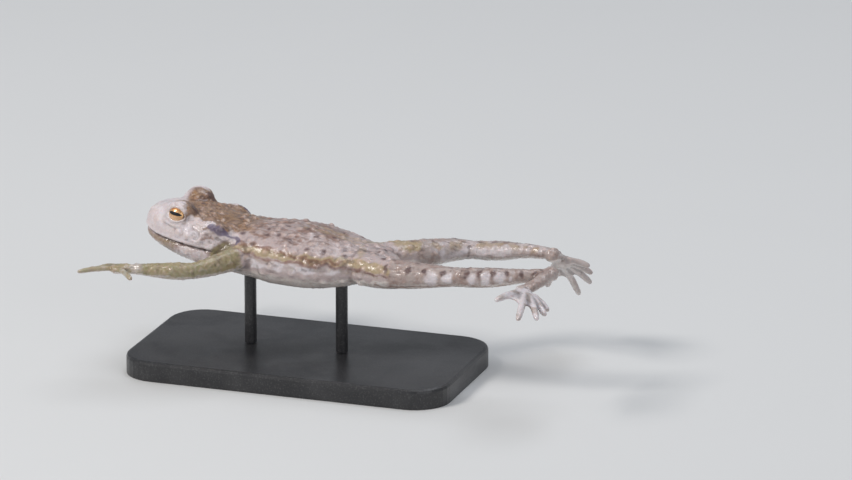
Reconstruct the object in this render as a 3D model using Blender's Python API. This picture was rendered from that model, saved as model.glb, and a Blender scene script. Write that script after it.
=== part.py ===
"""A common toad, life size and swimming, held by a plain display stand.

The toad is modelled in millimetres. X runs back from just before its snout, its
left side is at -Y, and Z is measured from the height of the snout's middle.
Head, body, arms and legs are shaped as one form, which thin cuts then part into
the named pieces. Hands, feet, eyes and stand are made by themselves. At the end
everything is moved so that the origin is the middle of the footprint, at the
height of the table, and is scaled to metres.
"""

import math
from typing import NamedTuple

import bmesh
import bpy
import numpy as np
from mathutils import Matrix, Vector
from mathutils.bvhtree import BVHTree

MM = 0.001  # metres in one unit of the script
GAP = 0.3  # left between two pieces that touch
VOXEL = 0.36  # grid of the whole form before it is thinned
FLESH_TRIANGLES = 8800  # head, body, arms and legs together
FINE_WEIGHT = 0.985  # how freely lips and lids are thinned, 1 as the rest

# Sections of head and body, from the snout to the vent
SNOUT_START, BODY_LENGTH = 0.6, 66.0
HALF_WIDTH = ((0.6, 2.2), (1.0, 3.6), (1.9, 5.0), (3.3, 6.4), (5.6, 7.9), (9.0, 9.4), (13.0, 10.6),
              (18.0, 11.3), (21.5, 11.0), (25.0, 10.3), (29.0, 10.9), (35.0, 12.1), (42.0, 12.7),
              (49.0, 12.0), (55.0, 10.2), (60.0, 7.6), (64.0, 4.6), (66.0, 2.2))
TOP = ((0.6, 1.1), (1.0, 2.1), (1.9, 3.2), (3.3, 4.0), (6.0, 4.6), (10.0, 4.8), (15.0, 4.2), (20.0, 3.0),
       (25.0, 1.9), (30.0, 1.7), (37.0, 1.8), (43.0, 1.6), (48.0, 0.6), (55.0, -1.2), (61.0, -2.8),
       (66.0, -4.6))
WIDEST = ((0.6, -0.8), (2.0, -1.4), (5.0, -2.1), (12.0, -2.9), (20.5, -3.9), (28.0, -5.0), (40.0, -6.0),
          (52.0, -6.3), (66.0, -6.4))
BOTTOM = ((0.6, -2.0), (1.0, -2.9), (1.9, -3.8), (4.2, -5.1), (8.0, -6.8), (14.0, -8.7), (20.0, -10.2),
          (27.0, -11.6), (36.0, -13.0), (44.0, -13.2), (52.0, -12.2), (58.0, -10.8), (63.0, -9.2),
          (66.0, -8.0))
HEAD_SQUARENESS, BODY_SQUARENESS = 2.7, 2.15  # 2 is an ellipse
HEAD_ENDS, BODY_STARTS = 18.0, 30.0

# Eyes, lids and glands, given for the right side
EYE_CENTRE, EYE_RADIUS = (11.2, 6.85, 3.45), 2.8
LID_CENTRE, LID_RADII = (11.3, 6.2, 3.1), (4.2, 3.8, 3.9)
EYE_OPENING_RADII = (2.85, 3.2, 2.25)  # along the head, outward, upward
LID_EDGE_HEIGHT = 0.32
EYE_LOOKS = (-0.16, 1.0, 0.26)
GLAND_FRONT, GLAND_BACK = (16.8, 7.6, 1.8), (24.4, 8.1, -0.3)
GLAND_HALF_WIDTH, GLAND_HALF_HEIGHT = 2.5, 1.9
NOSTRIL, NOSTRIL_RADIUS, NOSTRIL_DEPTH = (2.3, 2.0, 3.0), 0.5, 0.55
EARDRUM, EARDRUM_RADIUS, EARDRUM_DEPTH = (16.8, 10.8, -0.4), 1.25, 0.3
MOUTH_CORNER = 20.5
LIP_GROOVE, LIP_GROOVE_HALF_HEIGHT = 0.5, 0.4
JAW_SET_BACK, JAW_HEIGHT = 0.4, 1.7

# Warts: smallest and largest radius, and height as a share of the radius
WARTS_ON_BACK, WARTS_ON_LIMB = 110, 6
WART_RADII, LIMB_WART_RADII, WART_HEIGHT = (0.75, 1.3), (0.6, 0.85), 0.38
WART_SEED = 66


class Limb(NamedTuple):
    """A limb's line from inside the body to past its end, and (share, half-width, half-height) along it."""

    points: tuple
    sections: tuple


class Digits(NamedTuple):
    """A hand or foot: where it starts, how it lies, its palm, and (angle, length) of each digit."""

    root: tuple
    forward: tuple
    outward: tuple
    palm: tuple
    digits: tuple
    radii: tuple
    droop: float
    web: tuple


ARM_SECTIONS = ((0.0, 3.5, 3.8), (0.16, 3.1, 3.3), (0.34, 2.5, 2.6), (0.5, 2.15, 2.15), (0.62, 2.45, 2.2),
                (0.78, 2.05, 1.8), (0.9, 1.6, 1.4), (1.0, 1.55, 1.35))
LEG_SECTIONS = ((0.0, 4.3, 4.0), (0.12, 4.5, 4.0), (0.28, 4.2, 3.5), (0.46, 3.0, 2.7), (0.54, 2.75, 2.4),
                (0.68, 3.0, 2.5), (0.86, 2.0, 1.8), (1.0, 1.65, 1.6))
TARSUS_SECTIONS = ((0.0, 1.85, 1.8), (0.5, 1.75, 1.4), (1.0, 1.85, 1.25))

ARMS = {
    "left": Limb(((32.0, -5.0, -4.8), (27.8, -9.6, -5.2), (18.6, -21.0, -6.3), (4.8, -23.8, -6.3),
                  (2.4, -24.5, -6.3)), ARM_SECTIONS),
    "right": Limb(((32.0, 5.0, -4.8), (27.8, 9.6, -5.4), (19.0, 19.4, -8.0), (6.2, 17.2, -9.4),
                   (3.7, 17.3, -9.6)), ARM_SECTIONS),
}
LEGS = {
    "left": Limb(((57.0, -4.4, -6.1), (61.0, -6.8, -6.1), (85.0, -9.2, -4.6), (105.6, -3.8, -3.5),
                  (106.8, -3.4, -3.4)), LEG_SECTIONS),
    "right": Limb(((57.0, 4.4, -6.6), (60.5, 7.2, -7.0), (77.5, 22.6, -7.6), (99.5, 17.0, -4.8),
                   (100.7, 16.6, -4.8)), LEG_SECTIONS),
}
TARSI = {
    "left": Limb(((106.0, -2.8, -3.4), (104.9, -8.6, -3.9), (101.9, -17.0, -4.9)), TARSUS_SECTIONS),
    "right": Limb(((100.2, 16.0, -4.8), (99.3, 21.4, -6.6), (97.6, 28.6, -9.6)), TARSUS_SECTIONS),
}

# Cuts that part the form: (place, direction, radius). Elbows, knees and wrists lie on the limbs' lines
NECK_CUT = ((22.6, 0.0, -3.0), (1.0, 0.0, -0.625), 14.6)
SHOULDER_CUTS = {
    "left": ((25.4, -12.3, -5.5), (-0.12, -1.0, -0.1), 5.8),
    "right": ((25.4, 12.3, -5.8), (-0.12, 1.0, -0.16), 5.8),
}
HIP_CUTS = {
    "left": ((69.4, -7.8, -5.8), (1.0, -0.08, 0.05), 5.8),
    "right": ((66.0, 12.6, -7.5), (0.72, 0.69, -0.06), 6.2),
}
HEEL_CUTS = {
    "left": ((105.7, -3.6, -3.4), (0.8, -0.6, 0.02), 4.4),
    "right": ((99.2, 17.3, -4.9), (0.73, 0.68, -0.02), 5.0),
}
ELBOW_RADIUS, WRIST_RADIUS, KNEE_RADIUS, INSTEP_RADIUS = 4.2, 3.4, 5.4, 3.2

HANDS = {
    "left": Digits((4.8, -23.8, -6.3), (-0.96, -0.27, 0.0), (-0.27, 0.96, -0.08), (4.8, 2.7, 1.2),
                   ((24, 6.2), (9, 7.2), (-5, 10.4), (-116, 7.6)), (0.95, 0.66), 0.7, ()),
    "right": Digits((6.2, 17.2, -9.4), (-0.975, 0.2, -0.03), (-0.2, -0.975, 0.1), (4.8, 2.7, 1.2),
                    ((42, 6.2), (19, 7.2), (-4, 10.4), (-56, 7.6)), (0.95, 0.66), 0.7, ()),
}
FEET = {
    "left": Digits((103.0, -13.9, -4.53), (0.36, -0.93, -0.08), (0.87, 0.34, -0.36), (5.4, 2.9, 1.2),
                   ((46, 5.6), (27, 8.4), (10, 12.2), (-8, 16.6), (-36, 11.0)), (1.14, 0.76), 0.9,
                   ((0.86, 0.8), (0.82, 0.76), (0.8, 0.58), (0.56, 0.86))),
    "right": Digits((98.24, 25.9, -8.475), (0.2, 0.75, -0.63), (0.95, 0.02, 0.3), (5.4, 2.9, 1.2),
                    ((46, 5.6), (27, 8.4), (10, 12.2), (-8, 16.6), (-36, 11.0)), (1.14, 0.76), 0.9,
                    ((0.86, 0.8), (0.82, 0.76), (0.8, 0.58), (0.56, 0.86))),
}
WEB_THICKNESS, WEB_NOTCH = 0.62, 0.26

# Stand: a plate with rounded corners and two rods
PLATE_LENGTH, PLATE_WIDTH, PLATE_THICKNESS, PLATE_CORNER, PLATE_BEVEL = 84.0, 46.0, 5.0, 9.0, 0.8
PLATE_CENTRE_X = 42.0
BELLY_CLEARANCE = 17.0  # from the plate to the lowest point of the belly
ROD_RADIUS, ROD_PLACES = 1.5, {"front": 27.0, "back": 51.0}

# Places that tell the parted pieces of the form from each other
PIECE_MIDDLES = {
    "head": (11.0, 0.0, 0.0), "torso": (42.0, 0.0, -5.0),
    "upper_arm_left": (23.0, -15.0, -6.0), "upper_arm_right": (23.0, 14.5, -6.5),
    "forearm_left": (12.0, -22.4, -6.3), "forearm_right": (12.5, 18.4, -8.7),
    "thigh_left": (76.5, -8.4, -5.4), "thigh_right": (70.5, 17.0, -7.4),
    "shin_left": (95.0, -6.8, -4.1), "shin_right": (88.5, 20.0, -6.4),
    "tarsus_left": (104.6, -9.0, -4.0), "tarsus_right": (99.2, 21.4, -6.6),
}

# Finishes: base colour, roughness
SKIN_BACK = ("skin_back", (0.42, 0.30, 0.19), 0.45)
SKIN_LIMB = ("skin_limb", (0.46, 0.36, 0.20), 0.45)
SKIN_FOOT = ("skin_foot", (0.40, 0.31, 0.20), 0.45)
EYE_COPPER = ("eye_copper", (0.42, 0.14, 0.03), 0.1)
STAND_BLACK = ("stand_black", (0.03, 0.03, 0.032), 0.4)


def smooth_curve(table, at):
    """The second column of a table as a smooth curve of the first, with no overshoot, read at given places."""
    places, values = np.array(table, float).T
    step = np.diff(places)
    slope = np.diff(values) / step
    tangent = np.concatenate([slope[:1], np.zeros(len(slope) - 1), slope[-1:]])
    same_sign = slope[:-1] * slope[1:] > 0
    safe_sum = np.where(same_sign, slope[:-1] + slope[1:], 1.0)
    tangent[1:-1] = np.where(same_sign, 2 * slope[:-1] * slope[1:] / safe_sum, 0.0)
    at = np.clip(np.asarray(at, float), places[0], places[-1])
    i = np.clip(np.searchsorted(places, at) - 1, 0, len(step) - 1)
    t, h = (at - places[i]) / step[i], step[i]
    return (values[i] * (1 + 2 * t) * (1 - t) ** 2 + values[i + 1] * t * t * (3 - 2 * t)
            + h * tangent[i] * t * (1 - t) ** 2 + h * tangent[i + 1] * t * t * (t - 1))


def mirrored(point, side):
    """A place given for the right side, on the named side."""
    return Vector((point[0], -point[1] if side == "left" else point[1], point[2]))


def clear_scene():
    """Removes what the scene starts with."""
    for obj in list(bpy.data.objects):
        bpy.data.objects.remove(obj)


def finish(name, colour, roughness):
    """The material of that name."""
    found = bpy.data.materials.get(name)
    if found:
        return found
    made = bpy.data.materials.new(name)
    made.use_nodes = True
    shader = made.node_tree.nodes["Principled BSDF"]
    shader.inputs["Base Color"].default_value = (*colour, 1.0)
    shader.inputs["Roughness"].default_value = roughness
    made.diffuse_color = (*colour, 1.0)
    return made


def object_of(name, mesh):
    """A new object with a bmesh as its shape."""
    data = bpy.data.meshes.new(name)
    mesh.to_mesh(data)
    mesh.free()
    obj = bpy.data.objects.new(name, data)
    bpy.context.scene.collection.objects.link(obj)
    return obj


def apply_modifiers(obj):
    """Replaces an object's mesh by what its modifiers make of it."""
    bpy.context.view_layer.update()
    graph = bpy.context.evaluated_depsgraph_get()
    made = bpy.data.meshes.new_from_object(obj.evaluated_get(graph))
    obj.modifiers.clear()
    obj.data = made


def loft(rings):
    """A closed bmesh through rings of points, bridged one to the next and capped."""
    mesh = bmesh.new()
    previous = None
    for ring in rings:
        circle = bmesh.ops.create_circle(mesh, segments=len(ring), radius=1.0)["verts"]
        for vert, point in zip(circle, ring):
            vert.co = point
        edges = list({edge for vert in circle for edge in vert.link_edges})
        if previous:
            bmesh.ops.bridge_loops(mesh, edges=previous + edges)
        previous = edges
    bmesh.ops.holes_fill(mesh, edges=[edge for edge in mesh.edges if edge.is_boundary], sides=0)
    bmesh.ops.recalc_face_normals(mesh, faces=mesh.faces)
    return mesh


def body_ring(x, sides):
    """The outline of head or body at x: wide at the lips or flank, blunter than an ellipse at the head."""
    width, top, widest, bottom = (
        float(smooth_curve(t, x)) for t in (HALF_WIDTH, TOP, WIDEST, BOTTOM)
    )
    share = min(max((x - HEAD_ENDS) / (BODY_STARTS - HEAD_ENDS), 0.0), 1.0)
    power = 2.0 / (HEAD_SQUARENESS + share * (BODY_SQUARENESS - HEAD_SQUARENESS))
    ring = []
    for k in range(sides):
        angle = 2 * math.pi * k / sides
        across, up = math.cos(angle), math.sin(angle)
        height = top - widest if up > 0 else widest - bottom
        ring.append(Vector((
            x,
            width * math.copysign(abs(across) ** power, across),
            widest + height * math.copysign(abs(up) ** power, up),
        )))
    return ring


def head_and_body():
    """The trunk of the toad from snout to vent, before its limbs join it."""
    rounded_ends = (SNOUT_START, 0.85, 1.15, 1.6, 2.2, 2.9)
    stations = [*rounded_ends, *np.arange(3.8, BODY_LENGTH - 2.0, 1.3), BODY_LENGTH - 1.2, BODY_LENGTH]
    return loft([body_ring(x, sides=56) for x in stations])


def limb_line(points, step=0.9):
    """Points along a smooth line through the given ones, and the share of the way at each."""
    points = np.array(points, float)
    reach = np.concatenate([[0], np.cumsum(np.linalg.norm(np.diff(points, axis=0), axis=1))])
    count = max(6, int(reach[-1] / step))
    along = np.linspace(0, reach[-1], count)
    line = np.stack([smooth_curve(np.stack([reach, points[:, k]], 1), along) for k in range(3)], 1)
    return [Vector(p) for p in line], along / reach[-1]


def tube_rings(line, half_widths, half_heights, sides, up=(0.0, 0.0, 1.0)):
    """Oval rings square to a line, as wide across and as high as given."""
    rings = []
    for i, point in enumerate(line):
        ahead = (line[min(i + 1, len(line) - 1)] - line[max(i - 1, 0)]).normalized()
        across = ahead.cross(Vector(up)).normalized()
        upward = across.cross(ahead)
        angles = (2 * math.pi * k / sides for k in range(sides))
        rings.append([
            point + across * half_widths[i] * math.cos(a) + upward * half_heights[i] * math.sin(a)
            for a in angles
        ])
    return rings


def limb(which, sides=22):
    """A limb as one tube, swelling and narrowing with its muscles."""
    line, share = limb_line(which.points)
    sections = np.array(which.sections)
    widths = smooth_curve(sections[:, :2], share)
    heights = smooth_curve(sections[:, [0, 2]], share)
    return loft(tube_rings(line, widths, heights, sides))


def ball(centre, radii, turn=None, segments=24):
    """An ellipsoid bmesh. turn is a rotation that it gets before it is placed."""
    mesh = bmesh.new()
    place = Matrix.Translation(centre) @ (turn or Matrix.Identity(4)) @ Matrix.Diagonal((*radii, 1.0))
    bmesh.ops.create_uvsphere(mesh, u_segments=segments, v_segments=segments // 2, radius=1.0,
                              matrix=place)
    return mesh


def gland(side):
    """The parotoid gland, a long swelling behind the eye, sunk in the shoulder."""
    front, back = mirrored(GLAND_FRONT, side), mirrored(GLAND_BACK, side)
    turn = (back - front).to_track_quat("X", "Z").to_matrix().to_4x4()
    radii = ((back - front).length / 2, GLAND_HALF_WIDTH, GLAND_HALF_HEIGHT)
    return ball((front + back) / 2, radii, turn)


def joined(name, parts):
    """One object holding several bmeshes as they are, overlapping."""
    whole = bmesh.new()
    for part in parts:
        data = bpy.data.meshes.new("part")
        part.to_mesh(data)
        part.free()
        whole.from_mesh(data)
        bpy.data.meshes.remove(data)
    return object_of(name, whole)


def fused_form():
    """Head, body, arms and legs as one smooth skin."""
    parts = [head_and_body()]
    for side in ("left", "right"):
        parts += [limb(ARMS[side]), limb(LEGS[side]), limb(TARSI[side])]
        parts += [ball(mirrored(LID_CENTRE, side), LID_RADII), gland(side)]
        heel = Vector(TARSI[side].points[0])
        parts.append(ball(heel, (2.1, 2.1, 2.0)))
    form = joined("form", parts)
    remesh = form.modifiers.new("Skin", "REMESH")
    remesh.mode = "VOXEL"
    remesh.voxel_size = VOXEL
    apply_modifiers(form)
    soften(form)
    return form


def vertex_arrays(obj):
    """The points and normals of an object's mesh."""
    data = obj.data
    points = np.empty(len(data.vertices) * 3)
    normals = np.empty(len(data.vertices) * 3)
    data.vertices.foreach_get("co", points)
    data.vertex_normals.foreach_get("vector", normals)
    return points.reshape(-1, 3), normals.reshape(-1, 3)


def set_points(obj, points):
    """Moves an object's vertices to these points."""
    obj.data.vertices.foreach_set("co", points.ravel())
    obj.data.update()


def near(points, centre, reach):
    """1 at a centre, falling smoothly to 0 at its reach."""
    share = np.clip(1 - np.linalg.norm(points - np.array(centre), axis=1) / reach, 0, 1)
    return share * share * (3 - 2 * share)


def soften(form):
    """Smooths the form: lightly all over, and well where limbs join the body."""
    points, _ = vertex_arrays(form)
    weight = np.full(len(points), 0.1)
    for limbs, reach in ((ARMS, 9.0), (LEGS, 10.0)):
        for which in limbs.values():
            weight = np.maximum(weight, near(points, which.points[1], reach))
    for side in ("left", "right"):
        x, y, z = mirrored(LID_CENTRE, side)
        foot = np.linalg.norm((points - np.array((x, y * 0.75, z - 0.4))) / 5.6, axis=1)
        weight = np.maximum(weight, 0.6 * np.exp(-(((foot - 0.8) / 0.22) ** 2)))
    group = form.vertex_groups.new(name="joins")
    for i, value in enumerate(weight):
        group.add([i], float(value), "REPLACE")
    blend = form.modifiers.new("Blend", "SMOOTH")
    blend.iterations, blend.factor, blend.vertex_group = 40, 0.5, "joins"
    light = form.modifiers.new("Light", "SMOOTH")
    light.iterations, light.factor = 3, 0.5
    apply_modifiers(form)
    form.vertex_groups.clear()


def carve_mouth(points, normals):
    """Draws the line between the lips round the head, with the lower jaw set back under it."""
    lip = smooth_curve(WIDEST, points[:, 0])
    above = points[:, 2] - lip
    fade = np.clip((MOUTH_CORNER + 0.8 - points[:, 0]) / 1.6, 0, 1)
    fade = fade * (np.abs(points[:, 1]) < HALF_WIDTH[7][1] + 1.0)
    groove = LIP_GROOVE * np.exp(-((above / LIP_GROOVE_HALF_HEIGHT) ** 2))
    under = np.clip(-above / JAW_HEIGHT, 0, 1)
    set_back = JAW_SET_BACK * np.where(above < 0, 1 - under * under * (3 - 2 * under), 0)
    sideways = normals * np.array([1.0, 1.0, 0.0])
    sideways /= np.maximum(np.linalg.norm(sideways, axis=1, keepdims=True), 0.3)
    return points - sideways * (fade * (groove + set_back))[:, None]


def carve_pit(points, normals, centre, radius, depth, rim):
    """Sinks a round pit with a raised rim at the place of the surface nearest the centre."""
    centre = points[np.argmin(np.linalg.norm(points - np.array(centre), axis=1))]
    away = np.linalg.norm(points - centre, axis=1) / radius
    sunk = -depth * np.exp(-(away ** 4)) + rim * np.exp(-(((away - 1.25) / 0.4) ** 2))
    return points + normals * sunk[:, None]


def opening_share(points, side):
    """How far points lie from the middle of an eye's opening, 1 at its edge; far off behind the eye."""
    local = (points - np.array(mirrored(EYE_CENTRE, side))) @ np.array(eye_turn(side).to_3x3())
    along, outward, upward = EYE_OPENING_RADII
    share = np.hypot(local[:, 0] / along, local[:, 2] / upward)
    return np.where((local[:, 1] > 0.5) & (local[:, 1] < outward * 2), share, 99.0)


def raise_lid_edge(points, normals, side):
    """Raises the edge of the lids round the opening for an eye."""
    away = opening_share(points, side)
    raised = LID_EDGE_HEIGHT * np.exp(-(((away - 1.2) / 0.22) ** 2))
    return points + normals * raised[:, None]


def wart_places(form):
    """(place, radius) of each large wart, thrown at the back and the upper sides of the limbs."""
    rng = np.random.default_rng(WART_SEED)
    tree = BVHTree.FromObject(form, bpy.context.evaluated_depsgraph_get())
    found = []
    bare = []
    for side in ("left", "right"):
        bare += [(mirrored(EARDRUM, side), 2.4), (mirrored(LID_CENTRE, side), 4.4)]

    def throw(start, direction, radius, kept_within):
        hit = tree.ray_cast(start, direction)[0]
        if hit is None or (hit - start).length > kept_within:
            return
        if any((hit - place).length < reach + radius for place, reach in bare):
            return
        if all((hit - place).length > 1.15 * (radius + other) for place, other in found):
            found.append((hit, radius))

    while len(found) < WARTS_ON_BACK:
        x = rng.uniform(13.5, BODY_LENGTH - 4)
        angle = math.radians(rng.uniform(-22, 202))
        size = rng.uniform(*WART_RADII) * (0.72 if x < 21 else 1.0)
        start = Vector((x, 0.0, float(smooth_curve(WIDEST, x))))
        direction = Vector((0.0, math.cos(angle), math.sin(angle)))
        throw(start, direction, size, 14.0)
    for limbs in (ARMS, LEGS):
        for which in limbs.values():
            line, _ = limb_line(which.points)
            for _ in range(WARTS_ON_LIMB * 3):
                i = int(rng.integers(len(line) // 4, len(line) - 4))
                ahead = (line[i + 1] - line[i]).normalized()
                across = ahead.cross(Vector((0.0, 0.0, 1.0)))
                angle = math.radians(rng.uniform(0, 180))
                direction = across * math.cos(angle) + Vector((0.0, 0.0, 1.0)) * math.sin(angle)
                throw(line[i], direction, rng.uniform(*LIMB_WART_RADII), 5.0)
    return found


def raise_warts(points, normals, places):
    """Raises each wart as a low dome."""
    raised = np.zeros(len(points))
    for place, radius in places:
        away = np.linalg.norm(points - np.array(place), axis=1) / radius
        raised = np.maximum(raised, WART_HEIGHT * radius * np.clip(1 - away * away, 0, 1))
    return points + normals * raised[:, None]


def sculpt(form):
    """Adds mouth, nostrils, eardrums and warts to the form."""
    points, normals = vertex_arrays(form)
    places = wart_places(form)
    points = raise_warts(points, normals, places)
    points = carve_mouth(points, normals)
    for side in ("left", "right"):
        points = raise_lid_edge(points, normals, side)
        points = carve_pit(points, normals, mirrored(NOSTRIL, side), NOSTRIL_RADIUS, NOSTRIL_DEPTH, 0.14)
        points = carve_pit(points, normals, mirrored(EARDRUM, side), EARDRUM_RADIUS, EARDRUM_DEPTH, 0.16)
    set_points(form, points)


def thin_out(form):
    """Lowers the form to its number of triangles, keeping them where it curves and at lips and lids."""
    points, _ = vertex_arrays(form)
    lip = points[:, 2] - smooth_curve(WIDEST, points[:, 0])
    fine = (np.abs(lip + 0.1) < 0.9) & (points[:, 0] < MOUTH_CORNER) & (np.abs(points[:, 1]) < 12)
    for side in ("left", "right"):
        away = opening_share(points, side)
        fine |= (away < 1.7) & (np.linalg.norm(points - np.array(mirrored(EYE_CENTRE, side)), axis=1) < 5.5)
        fine |= np.linalg.norm(points - np.array(mirrored(NOSTRIL, side)), axis=1) < 1.2
    group = form.vertex_groups.new(name="coarse")
    group.add(np.flatnonzero(~fine).tolist(), 1.0, "REPLACE")
    group.add(np.flatnonzero(fine).tolist(), FINE_WEIGHT, "REPLACE")
    form.data.calc_loop_triangles()
    thinner = form.modifiers.new("Thin", "DECIMATE")
    thinner.vertex_group = "coarse"
    thinner.ratio = FLESH_TRIANGLES / len(form.data.loop_triangles)
    thinner.use_collapse_triangulate = True
    apply_modifiers(form)


def disc(centre, normal, radius, thickness=GAP, sides=28):
    """A thin round cutter, square to its normal."""
    mesh = bmesh.new()
    turn = Vector(normal).to_track_quat("Z", "X").to_matrix().to_4x4()
    bmesh.ops.create_cone(mesh, cap_ends=True, segments=sides, radius1=radius, radius2=radius,
                          depth=thickness, matrix=Matrix.Translation(centre) @ turn)
    return mesh


def bend(points, at):
    """The place and direction of a limb's line where it passes one of its own points."""
    line, _ = limb_line(points, step=0.2)
    i = min(range(1, len(line) - 1), key=lambda k: (line[k] - Vector(points[at])).length)
    return line[i], (line[i + 1] - line[i - 1]).normalized()


def cuts():
    """The thin cutters that part the form at neck, shoulders, elbows, wrists, hips, knees, heels, insteps."""
    made = [disc(*NECK_CUT)]
    for side in ("left", "right"):
        arm, leg, tarsus = ARMS[side].points, LEGS[side].points, TARSI[side].points
        made += [disc(*place) for place in (SHOULDER_CUTS[side], HIP_CUTS[side], HEEL_CUTS[side])]
        made.append(disc(*bend(arm, 2), ELBOW_RADIUS))
        made.append(disc(*bend(leg, 2), KNEE_RADIUS))
        made.append(disc(HANDS[side].root, Vector(arm[3]) - Vector(arm[2]), WRIST_RADIUS))
        made.append(disc(FEET[side].root, Vector(tarsus[2]) - Vector(tarsus[1]), INSTEP_RADIUS))
    return made


def eye_turn(side):
    """The rotation that takes +Y to where an eye looks."""
    looks = mirrored(EYE_LOOKS, side)
    return looks.to_track_quat("Y", "Z").to_matrix().to_4x4()


def eye_cutters(side):
    """The hollow for an eyeball and the opening between its lids."""
    centre = mirrored(EYE_CENTRE, side)
    turn = eye_turn(side)
    outward = turn @ Vector((0.0, 1.0, 0.0))
    reach = EYE_OPENING_RADII[1]
    return [
        ball(centre, [EYE_RADIUS + GAP] * 3, turn, segments=20),
        ball(centre + outward * reach * 0.62, EYE_OPENING_RADII, turn, segments=20),
    ]


def boolean(obj, others, operation, solver="EXACT"):
    """Cuts or joins bmeshes with an object, and applies it."""
    group = bpy.data.collections.new("others")
    bpy.context.scene.collection.children.link(group)
    made = []
    for other in others:
        piece = object_of("other", other)
        bpy.context.scene.collection.objects.unlink(piece)
        group.objects.link(piece)
        made.append(piece)
    step = obj.modifiers.new("Boolean", "BOOLEAN")
    step.operation, step.solver = operation, solver
    step.operand_type, step.collection = "COLLECTION", group
    apply_modifiers(obj)
    for piece in made:
        bpy.data.objects.remove(piece)
    bpy.data.collections.remove(group)


def loose_pieces(obj):
    """An object's separate surfaces as bmeshes, largest first."""
    mesh = bmesh.new()
    mesh.from_mesh(obj.data)
    mesh.verts.ensure_lookup_table()
    island = [-1] * len(mesh.verts)
    count = 0
    for seed in mesh.verts:
        if island[seed.index] >= 0:
            continue
        island[seed.index] = count
        front = [seed]
        while front:
            vert = front.pop()
            for edge in vert.link_edges:
                other = edge.other_vert(vert)
                if island[other.index] < 0:
                    island[other.index] = count
                    front.append(other)
        count += 1
    pieces = []
    for k in range(count):
        piece = mesh.copy()
        outside = [v for v in piece.verts if island[v.index] != k]
        bmesh.ops.delete(piece, geom=outside, context="VERTS")
        pieces.append(piece)
    mesh.free()
    return sorted(pieces, key=lambda piece: -abs(piece.calc_volume(signed=True)))


def largest(obj):
    """Keeps only the largest closed surface of an object."""
    pieces = loose_pieces(obj)
    pieces[0].to_mesh(obj.data)
    for piece in pieces:
        piece.free()


def part_form(form):
    """Cuts the form and names what it falls into."""
    cutters = cuts()
    for side in ("left", "right"):
        cutters += eye_cutters(side)
    boolean(form, cutters, "DIFFERENCE")
    pieces = loose_pieces(form)
    bpy.data.objects.remove(form)
    middles = [sum((v.co for v in p.verts), Vector()) / len(p.verts) for p in pieces]
    left_over = set(range(len(PIECE_MIDDLES)))
    for name, place in PIECE_MIDDLES.items():
        i = min(left_over, key=lambda k: (middles[k] - Vector(place)).length)
        left_over.remove(i)
        part = object_of(name, pieces[i].copy())
        style = SKIN_BACK if name in ("head", "torso") else SKIN_LIMB
        part.data.materials.clear()
        part.data.materials.append(finish(*style))
    for piece in pieces:
        piece.free()


DIGIT_SHARES = (0.0, 0.3, 0.6, 0.86, 0.96, 1.0)  # where a finger or toe has a ring

DIGIT_SWELLS = (1.0, 0.88, 1.04, 1.05, 0.86, 0.4)  # knuckles, and the round tip


def digit(root, direction, up, length, radii, droop, sides=8):
    """A finger or toe: knuckled, drooping a little, with a round tip. Returns (bmesh, its line)."""
    shares = np.array(DIGIT_SHARES)
    line = [root + direction * length * t + up * (0.12 * length * t * (1 - t) - droop * t * t)
            for t in shares]
    radius = radii[0] + (radii[1] - radii[0]) * shares
    radius *= DIGIT_SWELLS
    return loft(tube_rings(line, radius, radius * 0.9, sides, up)), line


def web(first, second, reaches, rows=4, columns=4):
    """The skin between two digits, with a hollow free edge. Both faces are split alike."""
    mesh = bmesh.new()
    bmesh.ops.create_grid(mesh, x_segments=columns, y_segments=rows, size=0.5)
    for vert in mesh.verts:
        across, along = vert.co.x + 0.5, vert.co.y + 0.5
        notch = 1 - WEB_NOTCH * math.sin(math.pi * across)
        sides = [
            Vector([float(np.interp(along * notch * reach, DIGIT_SHARES, [p[k] for p in line]))
                    for k in range(3)])
            for line, reach in zip((first, second), reaches)
        ]
        vert.co = sides[0].lerp(sides[1], across)
    bmesh.ops.triangulate(mesh, faces=mesh.faces, quad_method="FIXED")
    middle = sum((v.co for v in mesh.verts), Vector()) / len(mesh.verts)
    bmesh.ops.solidify(mesh, geom=mesh.faces, thickness=WEB_THICKNESS)
    moved = sum((v.co for v in mesh.verts), Vector()) / len(mesh.verts)
    bmesh.ops.translate(mesh, verts=mesh.verts, vec=middle - moved)
    bmesh.ops.recalc_face_normals(mesh, faces=mesh.faces)
    return mesh


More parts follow.
